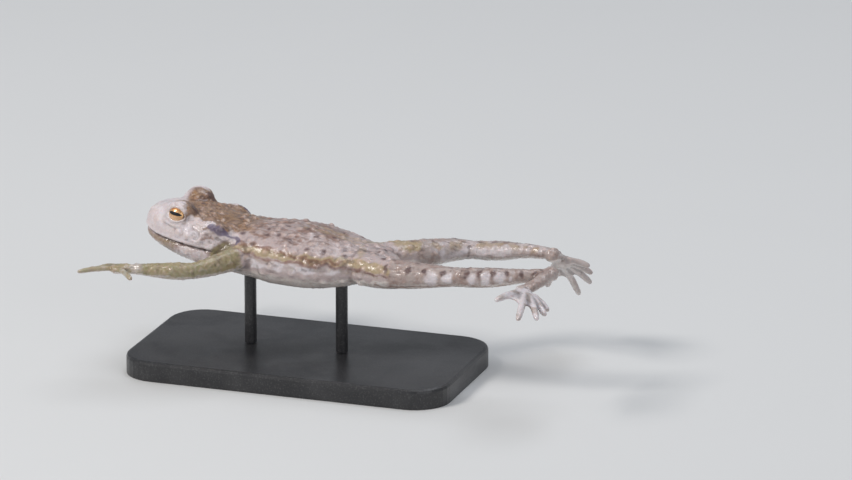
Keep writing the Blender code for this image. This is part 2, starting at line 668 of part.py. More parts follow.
def extremity(name, which, wrist_radii, limb_points):
    """A hand or foot: a flat palm, its digits and, on a foot, the web between them.

    It starts square to the line through limb_points, a little off the limb's end.
    """
    root, ahead = Vector(which.root), Vector(which.forward).normalized()
    inward = Vector(which.outward)
    inward = (inward - ahead * inward.dot(ahead)).normalized()
    up = ahead.cross(inward)
    if up.z < 0:
        up = -up
    length, half_width, half_height = which.palm
    shares = np.array([0.0, 0.14, 0.4, 0.66, 0.88, 0.98, 1.0])
    along_limb = (Vector(limb_points[1]) - Vector(limb_points[0])).normalized()
    near_end, turned = root + along_limb * GAP * 0.6, root + along_limb * 0.8
    beyond = (shares[1:] - shares[1]) / (1 - shares[1])
    line = [near_end] + [turned.lerp(root + ahead * length, t) for t in beyond]
    ends = np.array([1, 1, 1, 1, 0.92, 0.6, 0.25])
    widths = (wrist_radii[0] + (half_width - wrist_radii[0]) * shares) * ends
    heights = (wrist_radii[1] + (half_height - wrist_radii[1]) * shares) * ends
    palm = object_of(name, loft(tube_rings(line, widths, heights, 14, up)))
    parts, lines = [], []
    spread = max(abs(angle) for angle, _ in which.digits[:-1])
    for angle, reach in which.digits:
        turn = math.radians(angle)
        direction = ahead * math.cos(turn) + inward * math.sin(turn)
        sideways = half_width * 0.66 * max(-1.0, min(1.0, angle / spread))
        start = root + ahead * length * (0.58 - 0.1 * abs(sideways) / half_width) + inward * sideways
        part, middle_line = digit(start, direction, up, reach, which.radii, which.droop)
        parts.append(part)
        lines.append(middle_line)
    for first, second, reaches in zip(lines, lines[1:], which.web):
        parts.append(web(first, second, reaches))
    boolean(palm, parts, "UNION", "MANIFOLD")
    largest(palm)
    palm.data.materials.clear()
    palm.data.materials.append(finish(*SKIN_FOOT))
    return palm


def eye(side):
    """An eyeball, its pole where it looks."""
    place = Matrix.Translation(mirrored(EYE_CENTRE, side)) @ eye_turn(side)
    mesh = bmesh.new()
    bmesh.ops.create_uvsphere(mesh, u_segments=18, v_segments=10, radius=EYE_RADIUS,
                              matrix=place @ Matrix.Rotation(math.pi / 2, 4, "X"))
    obj = object_of(f"eye_{side}", mesh)
    obj.data.materials.append(finish(*EYE_COPPER))
    return obj


def stand(plate_top):
    """The plate, and two rods that reach up to the belly."""
    mesh = bmesh.new()
    bmesh.ops.create_cube(mesh, size=1.0)
    bmesh.ops.transform(mesh, verts=mesh.verts, matrix=Matrix.Translation(
        (PLATE_CENTRE_X, 0.0, plate_top - PLATE_THICKNESS / 2)
    ) @ Matrix.Diagonal((PLATE_LENGTH, PLATE_WIDTH, PLATE_THICKNESS, 1.0)))
    upright = [e for e in mesh.edges if abs(e.verts[0].co.z - e.verts[1].co.z) > 1.0]
    bmesh.ops.bevel(mesh, geom=upright, offset=PLATE_CORNER, segments=8, profile=0.5,
                    affect="EDGES", material=-1)
    upper = [e for e in mesh.edges if all(v.co.z > plate_top - 0.01 for v in e.verts)]
    bmesh.ops.bevel(mesh, geom=upper, offset=PLATE_BEVEL, segments=2, profile=0.5, affect="EDGES",
                    material=-1)
    plate = object_of("stand_base", mesh)
    plate.data.materials.append(finish(*STAND_BLACK))
    torso = bpy.data.objects["torso"]
    tree = BVHTree.FromObject(torso, bpy.context.evaluated_depsgraph_get())
    for name, x in ROD_PLACES.items():
        rim = [(x + ROD_RADIUS * math.cos(k), ROD_RADIUS * math.sin(k)) for k in range(7)]
        belly = min(tree.ray_cast(Vector((px, py, plate_top)), Vector((0, 0, 1)))[0].z
                    for px, py in [*rim, (x, 0.0)])
        low, high = plate_top + GAP, belly - GAP
        rod = disc((x, 0.0, (low + high) / 2), (0.0, 0.0, 1.0), ROD_RADIUS, high - low, sides=24)
        obj = object_of(f"stand_rod_{name}", rod)
        obj.data.materials.append(finish(*STAND_BLACK))


def place_in_frame():
    """Moves everything to the model's own frame and scales it to metres."""
    nodes = [o for o in bpy.context.scene.objects if o.type == "MESH"]
    corners = np.array([v.co for o in nodes for v in o.data.vertices])
    low, high = corners.min(0), corners.max(0)
    to_origin = Matrix.Translation((-(low[0] + high[0]) / 2, -(low[1] + high[1]) / 2, -low[2]))
    for obj in nodes:
        obj.data.transform(Matrix.Scale(MM, 4) @ to_origin)
        obj.data.shade_smooth()


def main():
    """Makes every piece."""
    clear_scene()
    form = fused_form()
    sculpt(form)
    thin_out(form)
    part_form(form)
    for side in ("left", "right"):
        wrist = [s * 0.96 for s in ARM_SECTIONS[-2][1:]]
        extremity(f"hand_{side}", HANDS[side], wrist, ARMS[side].points[2:4])
        extremity(f"foot_{side}", FEET[side], TARSUS_SECTIONS[-1][1:], TARSI[side].points[1:3])
        eye(side)
    torso = bpy.data.objects["torso"]
    belly = min(v.co.z for v in torso.data.vertices)
    stand(belly - BELLY_CLEARANCE)
    place_in_frame()


main()
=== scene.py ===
"""Dresses a life-size model of a swimming common toad on its display stand.

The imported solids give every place. One moist, warty skin closes over the solids
of flesh, two copper eyes sit in its lids, and the stand keeps its solids in a
satin black. Lengths are millimetres in the toad's own space, with x running
back from the snout, the toad's left side towards negative y and z up, until a
finished piece is written in metres in the shared frame. What comes in pairs is
given for the left side.
"""

import logging
import math
from dataclasses import dataclass
from enum import Enum

import bmesh
import bpy
import numpy as np
from mathutils import Matrix, Vector, kdtree, noise


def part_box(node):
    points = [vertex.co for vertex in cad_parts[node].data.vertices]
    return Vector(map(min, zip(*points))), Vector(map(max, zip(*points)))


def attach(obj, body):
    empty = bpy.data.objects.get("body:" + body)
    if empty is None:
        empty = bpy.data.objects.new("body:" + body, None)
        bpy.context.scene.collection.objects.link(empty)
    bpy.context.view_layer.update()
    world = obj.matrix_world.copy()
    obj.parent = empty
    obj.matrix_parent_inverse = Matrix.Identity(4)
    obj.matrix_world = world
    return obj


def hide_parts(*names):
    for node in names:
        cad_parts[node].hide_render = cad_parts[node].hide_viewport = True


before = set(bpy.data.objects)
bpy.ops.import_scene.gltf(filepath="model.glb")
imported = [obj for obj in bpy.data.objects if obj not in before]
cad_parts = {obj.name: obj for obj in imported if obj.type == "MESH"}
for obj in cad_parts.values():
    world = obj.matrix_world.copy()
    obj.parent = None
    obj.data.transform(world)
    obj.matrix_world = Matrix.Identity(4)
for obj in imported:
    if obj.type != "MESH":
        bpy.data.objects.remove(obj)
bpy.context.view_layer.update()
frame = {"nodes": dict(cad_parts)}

log = logging.getLogger("toad")

Point = tuple[float, float, float]
Line = tuple[Point, ...]
Colour = tuple[float, float, float]
Array = np.ndarray
Masks = dict[str, np.ndarray]
Solids = dict[str, bpy.types.Object]
Socket = bpy.types.NodeSocket


# ---------------------------------------------------------------------------
# Places and small sums
# ---------------------------------------------------------------------------


class Side(Enum):
    """A side of the toad, with the sign that y has there."""

    LEFT = -1
    RIGHT = 1

    @property
    def word(self) -> str:
        """The side's name as the solids use it."""
        return self.name.lower()

    def place(self, point: Point) -> Point:
        """A left-side point as it lies on this side."""
        return point[0], -point[1] * self.value, point[2]

    def line(self, line: Line) -> Line:
        """A left-side line as it lies on this side."""
        return tuple(self.place(point) for point in line)


@dataclass(frozen=True)
class ToadSpace:
    """The step between the toad's own millimetres and the shared frame's metres."""

    shift: Point

    @classmethod
    def from_eyes(cls, between_eyes: Point) -> "ToadSpace":
        """Finds the step from the two eye solids.

        Args:
            between_eyes: the point midway between the eyes, in the toad's space.

        Returns:
            The space whose midpoint between the eyes is that of the solids.
        """
        low_left, high_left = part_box("eye_left")
        low_right, high_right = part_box("eye_right")
        middle = (low_left + high_left + low_right + high_right) * 250.0
        return cls(tuple(middle[i] - between_eyes[i] for i in range(3)))

    def to_toad(self) -> Matrix:
        """The matrix from frame metres to toad millimetres."""
        return Matrix.Translation(-Vector(self.shift)) @ Matrix.Scale(1000.0, 4)

    def to_frame(self) -> Matrix:
        """The matrix from toad millimetres to frame metres."""
        return self.to_toad().inverted()


def step(value: Array, low: float, high: float) -> Array:
    """Rises smoothly from 0 at low to 1 at high, either way round."""
    t = np.clip((value - low) / (high - low), 0.0, 1.0)
    return t * t * (3.0 - 2.0 * t)


def hump(distance: Array, width: float) -> Array:
    """A smooth hump, 1 at no distance and near 0 at twice the width."""
    return np.exp(-((distance / width) ** 2))


def away(places: Array, centre: Point) -> Array:
    """The distance of each place from a point."""
    return np.linalg.norm(places - np.array(centre, float), axis=1)


def along_line(places: Array, line: Line) -> tuple[Array, Array]:
    """Measures places against a line of straight stretches.

    Args:
        places: the points, one a row.
        line: the line's corners.

    Returns:
        The distance of each place from the line, and how far along it that is.
    """
    nearest = np.full(len(places), np.inf)
    how_far = np.zeros(len(places))
    gone = 0.0
    for start, end in zip(line[:-1], line[1:]):
        a = np.array(start, float)
        run = np.array(end, float) - a
        length = float(np.linalg.norm(run))
        t = np.clip((places - a) @ run / (length * length), 0.0, 1.0)
        gap = np.linalg.norm(places - a - t[:, None] * run, axis=1)
        closer = gap < nearest
        nearest = np.where(closer, gap, nearest)
        how_far = np.where(closer, gone + t * length, how_far)
        gone += length
    return nearest, how_far


class BoneGauge:
    """Measures places against the bone between two joints."""

    def __init__(self, places: Array, start: Point, end: Point) -> None:
        """Measures the places.

        Args:
            places: the points, one a row.
            start: the joint that the bone comes from.
            end: the joint that it goes to.
        """
        run = np.array(end, float) - np.array(start, float)
        self.length = np.linalg.norm(run)
        self.run = run / self.length
        self.off = places - np.array(start, float)
        self.along = self.off @ self.run
        self.gap = np.linalg.norm(self.off - self.along[:, None] * self.run, axis=1)

    def around(self, outward: Point) -> Array:
        """The angle of each place round the bone.

        Args:
            outward: the rough direction of angle 0, away from the body.

        Returns:
            The angles, positive above that direction and negative below it.
        """
        out = np.array(outward)
        out = out - self.run * (out @ self.run)
        out /= np.linalg.norm(out)
        up = np.cross(self.run, out)
        up = up if up[2] > 0 else -up
        return np.arctan2(self.off @ up, self.off @ out)


def add_piece(name: str, mesh: bpy.types.Mesh, finish: bpy.types.Material) -> bpy.types.Object:
    """Puts a finished mesh in the scene.

    Args:
        name: the piece's name.
        mesh: its mesh, in the frame's metres.
        finish: its material.

    Returns:
        The new piece.
    """
    mesh.materials.clear()
    mesh.materials.append(finish)
    piece = bpy.data.objects.new(name, mesh)
    bpy.context.scene.collection.objects.link(piece)
    return piece


# ---------------------------------------------------------------------------
# Shader nodes
# ---------------------------------------------------------------------------


class NodeSketch:
    """Adds shader nodes to a tree and joins them."""

    row: int = 12
    spacing: tuple[int, int] = (190, -320)

    def __init__(self, tree: bpy.types.NodeTree) -> None:
        """Takes the tree to draw in."""
        self.tree = tree
        self.placed = 0

    def add(self, kind: str, **settings: object) -> bpy.types.Node:
        """Adds one node.

        Args:
            kind: the node's type name without the leading ShaderNode.
            settings: the node's own properties.

        Returns:
            The new node.
        """
        made = self.tree.nodes.new(kind if kind.startswith("Node") else "ShaderNode" + kind)
        for key, value in settings.items():
            setattr(made, key, value)
        down, across = divmod(self.placed, self.row)
        made.location = (across * self.spacing[0], down * self.spacing[1])
        self.placed += 1
        return made

    def feed(self, socket: Socket, source: object) -> None:
        """Puts something into a socket.

        Args:
            socket: the input to fill.
            source: a number, a colour, a vector or another socket.
        """
        if isinstance(source, Socket):
            self.tree.links.new(source, socket)
        elif socket.type == "RGBA":
            socket.default_value = (*source[:3], 1.0)
        else:
            socket.default_value = source

    def fill(self, node: bpy.types.Node, **values: object) -> bpy.types.Node:
        """Feeds a node's inputs by name.

        Args:
            node: the node.
            values: what goes into its inputs, named with _ for each space.

        Returns:
            The same node.
        """
        for key, value in values.items():
            self.feed(node.inputs[key.replace("_", " ")], value)
        return node

    def group(self, tree: bpy.types.NodeTree, **values: object) -> bpy.types.Node:
        """Places a shared group and feeds its inputs by name."""
        return self.fill(self.add("Group", node_tree=tree), **values)

    def in_turn(self, node: bpy.types.Node, sources: tuple[object, ...], first: int = 0) -> bpy.types.Node:
        """Feeds a node's inputs in their order.

        Args:
            node: the node.
            sources: what goes into its inputs.
            first: the number of the first of them.

        Returns:
            The same node.
        """
        for slot, source in enumerate(sources, first):
            self.feed(node.inputs[slot], source)
        return node

    def sum(self, kind: str, *sources: object) -> Socket:
        """One piece of arithmetic."""
        return self.in_turn(self.add("Math", operation=kind), sources).outputs[0]

    def times(self, a: object, b: object) -> Socket:
        """The product of two values."""
        return self.sum("MULTIPLY", a, b)

    def plus(self, a: object, b: object) -> Socket:
        """The sum of two values."""
        return self.sum("ADD", a, b)

    def minus(self, a: object, b: object) -> Socket:
        """The first value less the second."""
        return self.sum("SUBTRACT", a, b)

    def length(self, a: Socket, b: Socket) -> Socket:
        """The length of a flat vector with two parts."""
        return self.sum("SQRT", self.plus(self.times(a, a), self.times(b, b)))

    def vector(self, *parts: object) -> Socket:
        """A vector put together from its parts."""
        return self.in_turn(self.add("CombineXYZ"), parts).outputs[0]

    def between(self, value: object, low: object, high: object, *ends: float) -> Socket:
        """Goes smoothly from 0 at low to 1 at high, or between the two ends given."""
        made = self.add("MapRange", interpolation_type="SMOOTHSTEP", clamp=True)
        return self.in_turn(made, (value, low, high, *ends)).outputs[0]

    def layered(self, base: object, *coats: tuple[object, object]) -> Socket:
        """Lays colours over one another.

        Args:
            base: the lowest colour.
            coats: each further coat's share, from 0 to 1, and its colour.

        Returns:
            The colour with all of its coats.
        """
        for share, colour in coats:
            made = self.add("Mix", data_type="RGBA", clamp_factor=True)
            self.feed(made.inputs[0], share)
            base = self.in_turn(made, (base, colour), first=6).outputs[2]
        return base

    def mask(self, name: str) -> Socket:
        """A value painted on the piece's points."""
        return self.add("Attribute", attribute_type="GEOMETRY", attribute_name=name).outputs["Fac"]

    def place(self) -> Socket:
        """The place on the piece, in metres."""
        return self.add("TexCoord").outputs["Object"]

    def cloud(self, place: object, scale: object, detail: float, rough: float, bend: float = 0.0) -> Socket:
        """Soft noise of one scale.

        Args:
            place: where it is read.
            scale: its cycles a metre.
            detail: how many finer layers it has.
            rough: how strong those are.
            bend: how far it is distorted.

        Returns:
            The noise, from 0 to 1.
        """
        made = self.add("TexNoise", noise_dimensions="3D")
        made = self.fill(made, Vector=place, Scale=scale, Detail=detail, Roughness=rough, Distortion=bend)
        return made.outputs["Fac"]

    def cells(self, place: object, scale: object) -> Socket:
        """Rounded cells of one scale, 0 at their middles."""
        made = self.add("TexVoronoi", feature="SMOOTH_F1", voronoi_dimensions="3D")
        return self.fill(made, Vector=place, Scale=scale, Smoothness=0.4).outputs["Distance"]

    def bump(self, height: Socket, strength: float, depth: float) -> Socket:
        """A normal that follows a fine relief, with its depth in metres."""
        made = self.fill(self.add("Bump"), Strength=strength, Distance=depth, Height=height)
        return made.outputs["Normal"]


class SharedEffects:
    """The node groups that more than one finish uses, each made once."""

    def __init__(self) -> None:
        """Makes the groups."""
        self.mottling = self._mottling()
        self.granules = self._granules()
        self.wet_film = self._wet_film()

    @staticmethod
    def _start(name: str, numbers: dict[str, float], gives: tuple[str, ...]) -> tuple[NodeSketch, object]:
        """Starts a group that takes a place and some numbers.

        Args:
            name: the group's name.
            numbers: the starting value of each number that it takes.
            gives: the names of its outputs, all plain values.

        Returns:
            A sketch of the group, and the sockets that bring what it takes.
        """
        tree = bpy.data.node_groups.new(name, "ShaderNodeTree")
        tree.interface.new_socket(name="Place", in_out="INPUT", socket_type="NodeSocketVector")
        for title, start in numbers.items():
            taken = tree.interface.new_socket(name=title, in_out="INPUT", socket_type="NodeSocketFloat")
            taken.default_value = start
        for title in gives:
            tree.interface.new_socket(name=title, in_out="OUTPUT", socket_type="NodeSocketFloat")
        draw = NodeSketch(tree)
        return draw, draw.add("NodeGroupInput").outputs

    def _mottling(self) -> bpy.types.NodeTree:
        """Blotches, and specks about five times finer, as two masks.

        Returns:
            The node group.
        """
        draw, given = self._start("mottling", {"Scale": 300.0, "Edge": 0.12}, ("Blotches", "Specks"))
        broad = draw.cloud(given["Place"], given["Scale"], 4.0, 0.6, 0.8)
        fine = draw.cloud(given["Place"], draw.times(given["Scale"], 5.2), 2.0, 0.7)
        blotches = draw.between(broad, draw.minus(0.5, given["Edge"]), draw.plus(0.5, given["Edge"]))
        draw.fill(draw.add("NodeGroupOutput"), Blotches=blotches, Specks=draw.between(fine, 0.52, 0.68))
        return draw.tree

    def _granules(self) -> bpy.types.NodeTree:
        """Fine rounded granules with a leathery ground between them, as a height.

        Returns:
            The node group.
        """
        draw, given = self._start("granules", {"Scale": 1500.0, "Ground": 0.3}, ("Height",))
        large = draw.cells(given["Place"], given["Scale"])
        small = draw.cells(given["Place"], draw.times(given["Scale"], 2.6))
        grain = draw.cloud(given["Place"], draw.times(given["Scale"], 3.4), 3.0, 0.6)
        domes = draw.minus(1.0, draw.times(large, 1.25))
        dots = draw.times(draw.minus(1.0, small), 0.35)
        height = draw.plus(draw.plus(domes, dots), draw.times(grain, given["Ground"]))
        draw.fill(draw.add("NodeGroupOutput"), Height=height)
        return draw.tree

    def _wet_film(self) -> bpy.types.NodeTree:
        """Where a film of water lies, as a roughness and a coat's weight.

        Returns:
            The node group.
        """
        numbers = {"Scale": 200.0, "Dry roughness": 0.5, "Wet roughness": 0.25}
        draw, given = self._start("wet film", numbers, ("Roughness", "Coat"))
        wet = draw.between(draw.cloud(given["Place"], given["Scale"], 3.0, 0.6), 0.38, 0.62)
        change = draw.minus(given["Wet roughness"], given["Dry roughness"])
        rough = draw.plus(given["Dry roughness"], draw.times(wet, change))
        coat = draw.plus(draw.times(wet, 0.45), 0.35)
        draw.fill(draw.add("NodeGroupOutput"), Roughness=rough, Coat=coat)
        return draw.tree


def start_material(name: str) -> tuple[bpy.types.Material, NodeSketch, bpy.types.Node]:
    """Starts a material with its Principled shader.

    Args:
        name: the material's name.

    Returns:
        The material, a sketch of its tree, and the shader.
    """
    made = bpy.data.materials.new(name)
    made.use_nodes = True
    made.node_tree.nodes.clear()
    draw = NodeSketch(made.node_tree)
    shader = draw.add("BsdfPrincipled")
    draw.fill(draw.add("OutputMaterial"), Surface=shader.outputs["BSDF"])
    return made, draw, shader


# ---------------------------------------------------------------------------
# Finishes
# ---------------------------------------------------------------------------


@dataclass(frozen=True)
class MoistSkin:
    """The finish of the toad's skin, with its colours by region."""

    back_light: Colour = (0.455, 0.368, 0.358)
    back_dark: Colour = (0.25, 0.155, 0.125)
    crown: Colour = (0.32, 0.185, 0.095)
    crown_dark: Colour = (0.15, 0.078, 0.042)
    # The pale face: partly the toad's own paler skin, partly painted sunlight and sky reflection on the snout,
    # cheeks and lid crests.
    pale: Colour = (0.72, 0.645, 0.65)
    pale_shade: Colour = (0.56, 0.44, 0.41)
    pale_cool: Colour = (0.60, 0.575, 0.66)
    flank: Colour = (0.475, 0.385, 0.376)
    olive: Colour = (0.27, 0.25, 0.13)
    yellow: Colour = (0.40, 0.305, 0.17)
    belly: Colour = (0.74, 0.67, 0.63)
    belly_speck: Colour = (0.36, 0.31, 0.26)
    dark: Colour = (0.075, 0.040, 0.042)
    # The slate band below each gland: partly the toad's dark marking, partly painted shadow under the gland.
    band: Colour = (0.125, 0.098, 0.155)
    russet: Colour = (0.20, 0.088, 0.058)
    # Pale patches: partly the toad's own pale cells, partly painted wet glints and painted light on the shaded far
    # shank.
    cell: Colour = (0.72, 0.665, 0.69)
    limb: Colour = (0.38, 0.31, 0.285)
    foot: Colour = (0.47, 0.405, 0.385)
    wart_top: Colour = (0.48, 0.29, 0.21)
    # Painted shade: the dark colour laid into the skin's hollows and creases.
    hollow_shade: Colour = (0.075, 0.045, 0.038)
    # Painted highlight: the paler colour laid on the skin's raised places, its warts and ridges.
    ridge: Colour = (0.72, 0.64, 0.60)
    stretch: Point = (0.42, 1.0, 1.0)

    def material(self, shared: SharedEffects) -> bpy.types.Material:
        """Builds the skin's material.

        Args:
            shared: the node groups.

        Returns:
            The material, which reads the masks painted on the skin.
        """
        made, draw, shader = start_material("moist skin")
        place = draw.place()
        lengthwise = draw.add("VectorMath", operation="MULTIPLY")
        draw.in_turn(lengthwise, (place, self.stretch))
        broad = draw.group(shared.mottling, Place=place, Scale=300.0, Edge=0.10).outputs
        fine = draw.group(shared.mottling, Place=place, Scale=900.0, Edge=0.16).outputs
        drawn = draw.group(shared.mottling, Place=lengthwise.outputs[0], Scale=430.0, Edge=0.13).outputs
        clouds, freckles, streaks = broad["Blotches"], broad["Specks"], drawn["Blotches"]
        veins, flecks = fine["Blotches"], fine["Specks"]
        ragged = draw.times(draw.minus(draw.cloud(place, 1300.0, 4.0, 0.65), 0.5), 0.9)
        grain = draw.times(ragged, 0.7)

        def region(name: str, low: float, high: float) -> Socket:
            """A painted mask with a ragged edge."""
            return draw.between(draw.plus(draw.mask(name), ragged), low, high)

        def soft(name: str, strength: float) -> Socket:
            """A painted mask that fades out evenly."""
            return draw.between(draw.plus(draw.mask(name), grain), 0.1, 0.95, 0.0, strength)

        def mixed(base: Colour, *parts: tuple[Socket, float, Colour]) -> Socket:
            """A colour with others mixed in, each by a share of a pattern."""
            return draw.layered(base, *((draw.times(pattern, share), tint) for pattern, share, tint in parts))

        relief = draw.mask("relief")
        # The pale face's colour, partly painted sunlight and sky reflection.
        pale = mixed(
            self.pale, (clouds, 0.48, self.pale_shade), (streaks, 0.30, self.pale_cool),
            (flecks, 0.30, self.back_light),
        )
        coats = (
            (region("brown", 0.12, 0.88),
             mixed(self.crown, (veins, 1.0, self.crown_dark), (clouds, 0.22, self.back_light))),
            (region("flank", 0.25, 0.80), mixed(self.flank, (veins, 0.45, self.back_light))),
            (region("limb", 0.30, 0.70),
             mixed(self.limb, (clouds, 0.70, self.back_dark), (veins, 0.30, self.flank))),
            (region("foot", 0.20, 0.80),
             mixed(self.foot, (clouds, 0.55, self.limb), (flecks, 0.35, self.back_dark))),
            (region("olive", 0.15, 0.85),
             mixed(self.olive, (veins, 0.45, self.back_dark), (clouds, 0.45, self.yellow))),
            (soft("yellow", 0.85), self.yellow),
            (region("belly", 0.12, 0.90),
             mixed(self.belly, (freckles, 0.50, self.belly_speck), (veins, 0.30, self.pale_shade))),
            (region("pale", 0.20, 0.85), pale),
            (draw.times(draw.mask("wart"), 0.42), self.wart_top),
            # Pale patches, partly painted wet glints and painted light.
            (soft("cell", 0.90), mixed(self.cell, (veins, 0.35, self.flank))),
            (soft("russet", 0.72), self.russet),
            (soft("dark", 0.90), mixed(self.dark, (veins, 0.30, self.russet))),
            # The slate band, partly painted shadow under the glands.
            (soft("band", 0.90), self.band),
            # Painted shade in the hollows and a painted highlight on the raised places, both read from the relief
            # mask.
            (draw.between(relief, 0.05, -0.60, 0.0, 0.50), self.hollow_shade),
            (draw.between(relief, 0.10, 0.90, 0.0, 0.16), self.ridge),
        )
        back = mixed(self.back_light, (streaks, 1.0, self.back_dark), (flecks, 0.35, self.back_dark))
        film = draw.group(shared.wet_film, Place=place, Scale=210.0, Dry_roughness=0.48, Wet_roughness=0.28)
        granules = draw.group(shared.granules, Place=place, Scale=1450.0, Ground=0.35).outputs["Height"]
        rough_share = draw.between(draw.mask("smooth"), 0.0, 1.0, 1.0, 0.25)
        draw.fill(
            shader, Base_Color=draw.layered(back, *coats),
            Roughness=film.outputs["Roughness"], Coat_Weight=film.outputs["Coat"],
            Coat_Roughness=0.10, Coat_IOR=1.33, IOR=1.42,
            Subsurface_Weight=0.08, Subsurface_Radius=(1.0, 0.45, 0.28), Subsurface_Scale=0.0012,
            Normal=draw.bump(draw.times(granules, rough_share), 0.75, 0.00009),
        )
        return made


@dataclass(frozen=True)
class CopperEye:
    """The finish of an eyeball: a copper iris round a level pupil, under a wet front."""

    copper: Colour = (0.68, 0.25, 0.08)
    gold: Colour = (0.92, 0.56, 0.26)
    vein: Colour = (0.085, 0.024, 0.010)
    pupil: Colour = (0.004, 0.004, 0.006)
    rim_ring: Colour = (0.92, 0.60, 0.25)
    # Painted light: the iris's lower part is painted in this paler, warmer glow.
    low_glow: Colour = (0.94, 0.68, 0.46)
    surround: Colour = (0.045, 0.022, 0.016)
    pupil_half_width: float = 1.72
    pupil_half_height: float = 0.46
    pupil_lift: float = 0.22
    iris_radius: float = 2.25

    def material(self, shared: SharedEffects) -> bpy.types.Material:
        """Builds the eye's material.

        Args:
            shared: the node groups.

        Returns:
            The material, which reads the place across the eye's front in millimetres.
        """
        made, draw, shader = start_material("copper eye")
        across, upward = draw.mask("across"), draw.mask("upward")
        droop = draw.between(upward, 0.0, -0.2, 1.0, 1.12)
        lifted = draw.times(draw.minus(upward, self.pupil_lift), droop)
        oval = draw.length(
            draw.sum("DIVIDE", across, self.pupil_half_width), draw.sum("DIVIDE", lifted, self.pupil_half_height)
        )
        radius = draw.length(across, upward)
        angle = draw.sum("ARCTAN2", upward, across)
        around = (draw.times(draw.sum(turn, angle), 3.2) for turn in ("COSINE", "SINE"))
        rays = draw.cloud(draw.vector(*around, draw.times(radius, 0.35)), 2.4, 5.0, 0.7, 0.4)
        flecks = draw.group(shared.mottling, Place=draw.vector(across, upward), Scale=3.6, Edge=0.09).outputs
        from_ring = draw.sum("ABSOLUTE", draw.minus(oval, 1.14))
        colour = draw.layered(
            self.copper,
            (draw.between(rays, 0.38, 0.64), self.gold),
            (draw.times(flecks["Blotches"], 0.55), self.vein),
            (draw.times(flecks["Specks"], 0.6), self.gold),
            # Painted glow over the iris's lower part.
            (draw.between(upward, 0.1, -0.9, 0.0, 0.52), self.low_glow),
            (draw.between(from_ring, 0.12, 0.02, 0.0, 0.75), self.rim_ring),
            (draw.between(radius, self.iris_radius - 0.35, self.iris_radius), self.surround),
            (draw.between(oval, 1.04, 0.96), self.pupil),
        )
        within_iris = draw.between(radius, self.iris_radius, self.iris_radius - 0.3, 0.0, 0.45)
        draw.fill(
            shader, Base_Color=colour, Metallic=draw.times(draw.between(oval, 0.98, 1.08), within_iris),
            Roughness=0.32, Coat_Weight=1.0, Coat_Roughness=0.02, Coat_IOR=1.38,
            Normal=draw.bump(rays, 0.35, 0.00005),
        )
        return made


@dataclass(frozen=True)
class SatinBlack:
    """The stand's finish: satin black lacquer with a fine grain and faint handling marks."""

    lacquer: Colour = (0.016, 0.016, 0.018)
    rubbed: Colour = (0.045, 0.044, 0.046)
    dust: Colour = (0.35, 0.34, 0.33)

    def material(self, shared: SharedEffects) -> bpy.types.Material:
        """Builds the stand's material.

        Args:
            shared: the node groups.

        Returns:
            The material.
        """
        made, draw, shader = start_material("satin black lacquer")
        place = draw.place()
        marks = draw.group(shared.mottling, Place=place, Scale=70.0, Edge=0.14).outputs["Blotches"]
        dust = draw.group(shared.mottling, Place=place, Scale=420.0, Edge=0.10).outputs["Specks"]
        film = draw.group(shared.wet_film, Place=place, Scale=60.0, Dry_roughness=0.42, Wet_roughness=0.33)
        grain = draw.group(shared.granules, Place=place, Scale=2600.0, Ground=0.8).outputs["Height"]
        coats = (draw.times(marks, 0.5), self.rubbed), (draw.times(dust, 0.10), self.dust)
        draw.fill(
            shader, Base_Color=draw.layered(self.lacquer, *coats), Roughness=film.outputs["Roughness"],
            Coat_Weight=0.15, Coat_Roughness=0.25, Normal=draw.bump(grain, 0.25, 0.00004),
        )
        return made


@dataclass(frozen=True)
class PaleFloor:
    """The studio floor's finish: plain, pale and matt."""

    tone: Colour = (0.66, 0.66, 0.655)
    shade: float = 0.985

    def material(self, shared: SharedEffects) -> bpy.types.Material:
        """Builds the floor's material.

        Args:
            shared: the node groups.

        Returns:
            The material.
        """
        made, draw, shader = start_material("pale studio floor")
        faint = draw.group(shared.mottling, Place=draw.place(), Scale=6.0, Edge=0.3).outputs["Blotches"]
        shaded = tuple(part * self.shade for part in self.tone)
        draw.fill(shader, Base_Color=draw.layered(self.tone, (faint, shaded)), Roughness=0.75)
        return made


# ---------------------------------------------------------------------------
# The eyes
# ---------------------------------------------------------------------------


@dataclass(frozen=True)
class EyePlace:
    """Where an eyeball sits, which way it looks, and its three axes."""

    side: Side
    centre: Point = (11.2, -6.85, 3.45)
    radius: float = 2.8
    looks: Point = (-0.16, -1.0, 0.26)
    slit_rise: float = 0.20

    @property
    def middle(self) -> Vector:
        """The eyeball's centre on this side."""
        return Vector(self.side.place(self.centre))

    @property
    def gaze(self) -> Vector:
        """The direction in which the eye looks."""
        return Vector(self.side.place(self.looks)).normalized()

    @property
    def forward(self) -> Vector:
        """Across the eye's front towards the snout, a little upward."""
        ahead = Vector((-1.0, 0.0, self.slit_rise))
        return (ahead - self.gaze * ahead.dot(self.gaze)).normalized()

    @property
    def upward(self) -> Vector:
        """Across the eye's front towards the crown."""
        high = self.gaze.cross(self.forward)
        return high if high.z > 0 else -high


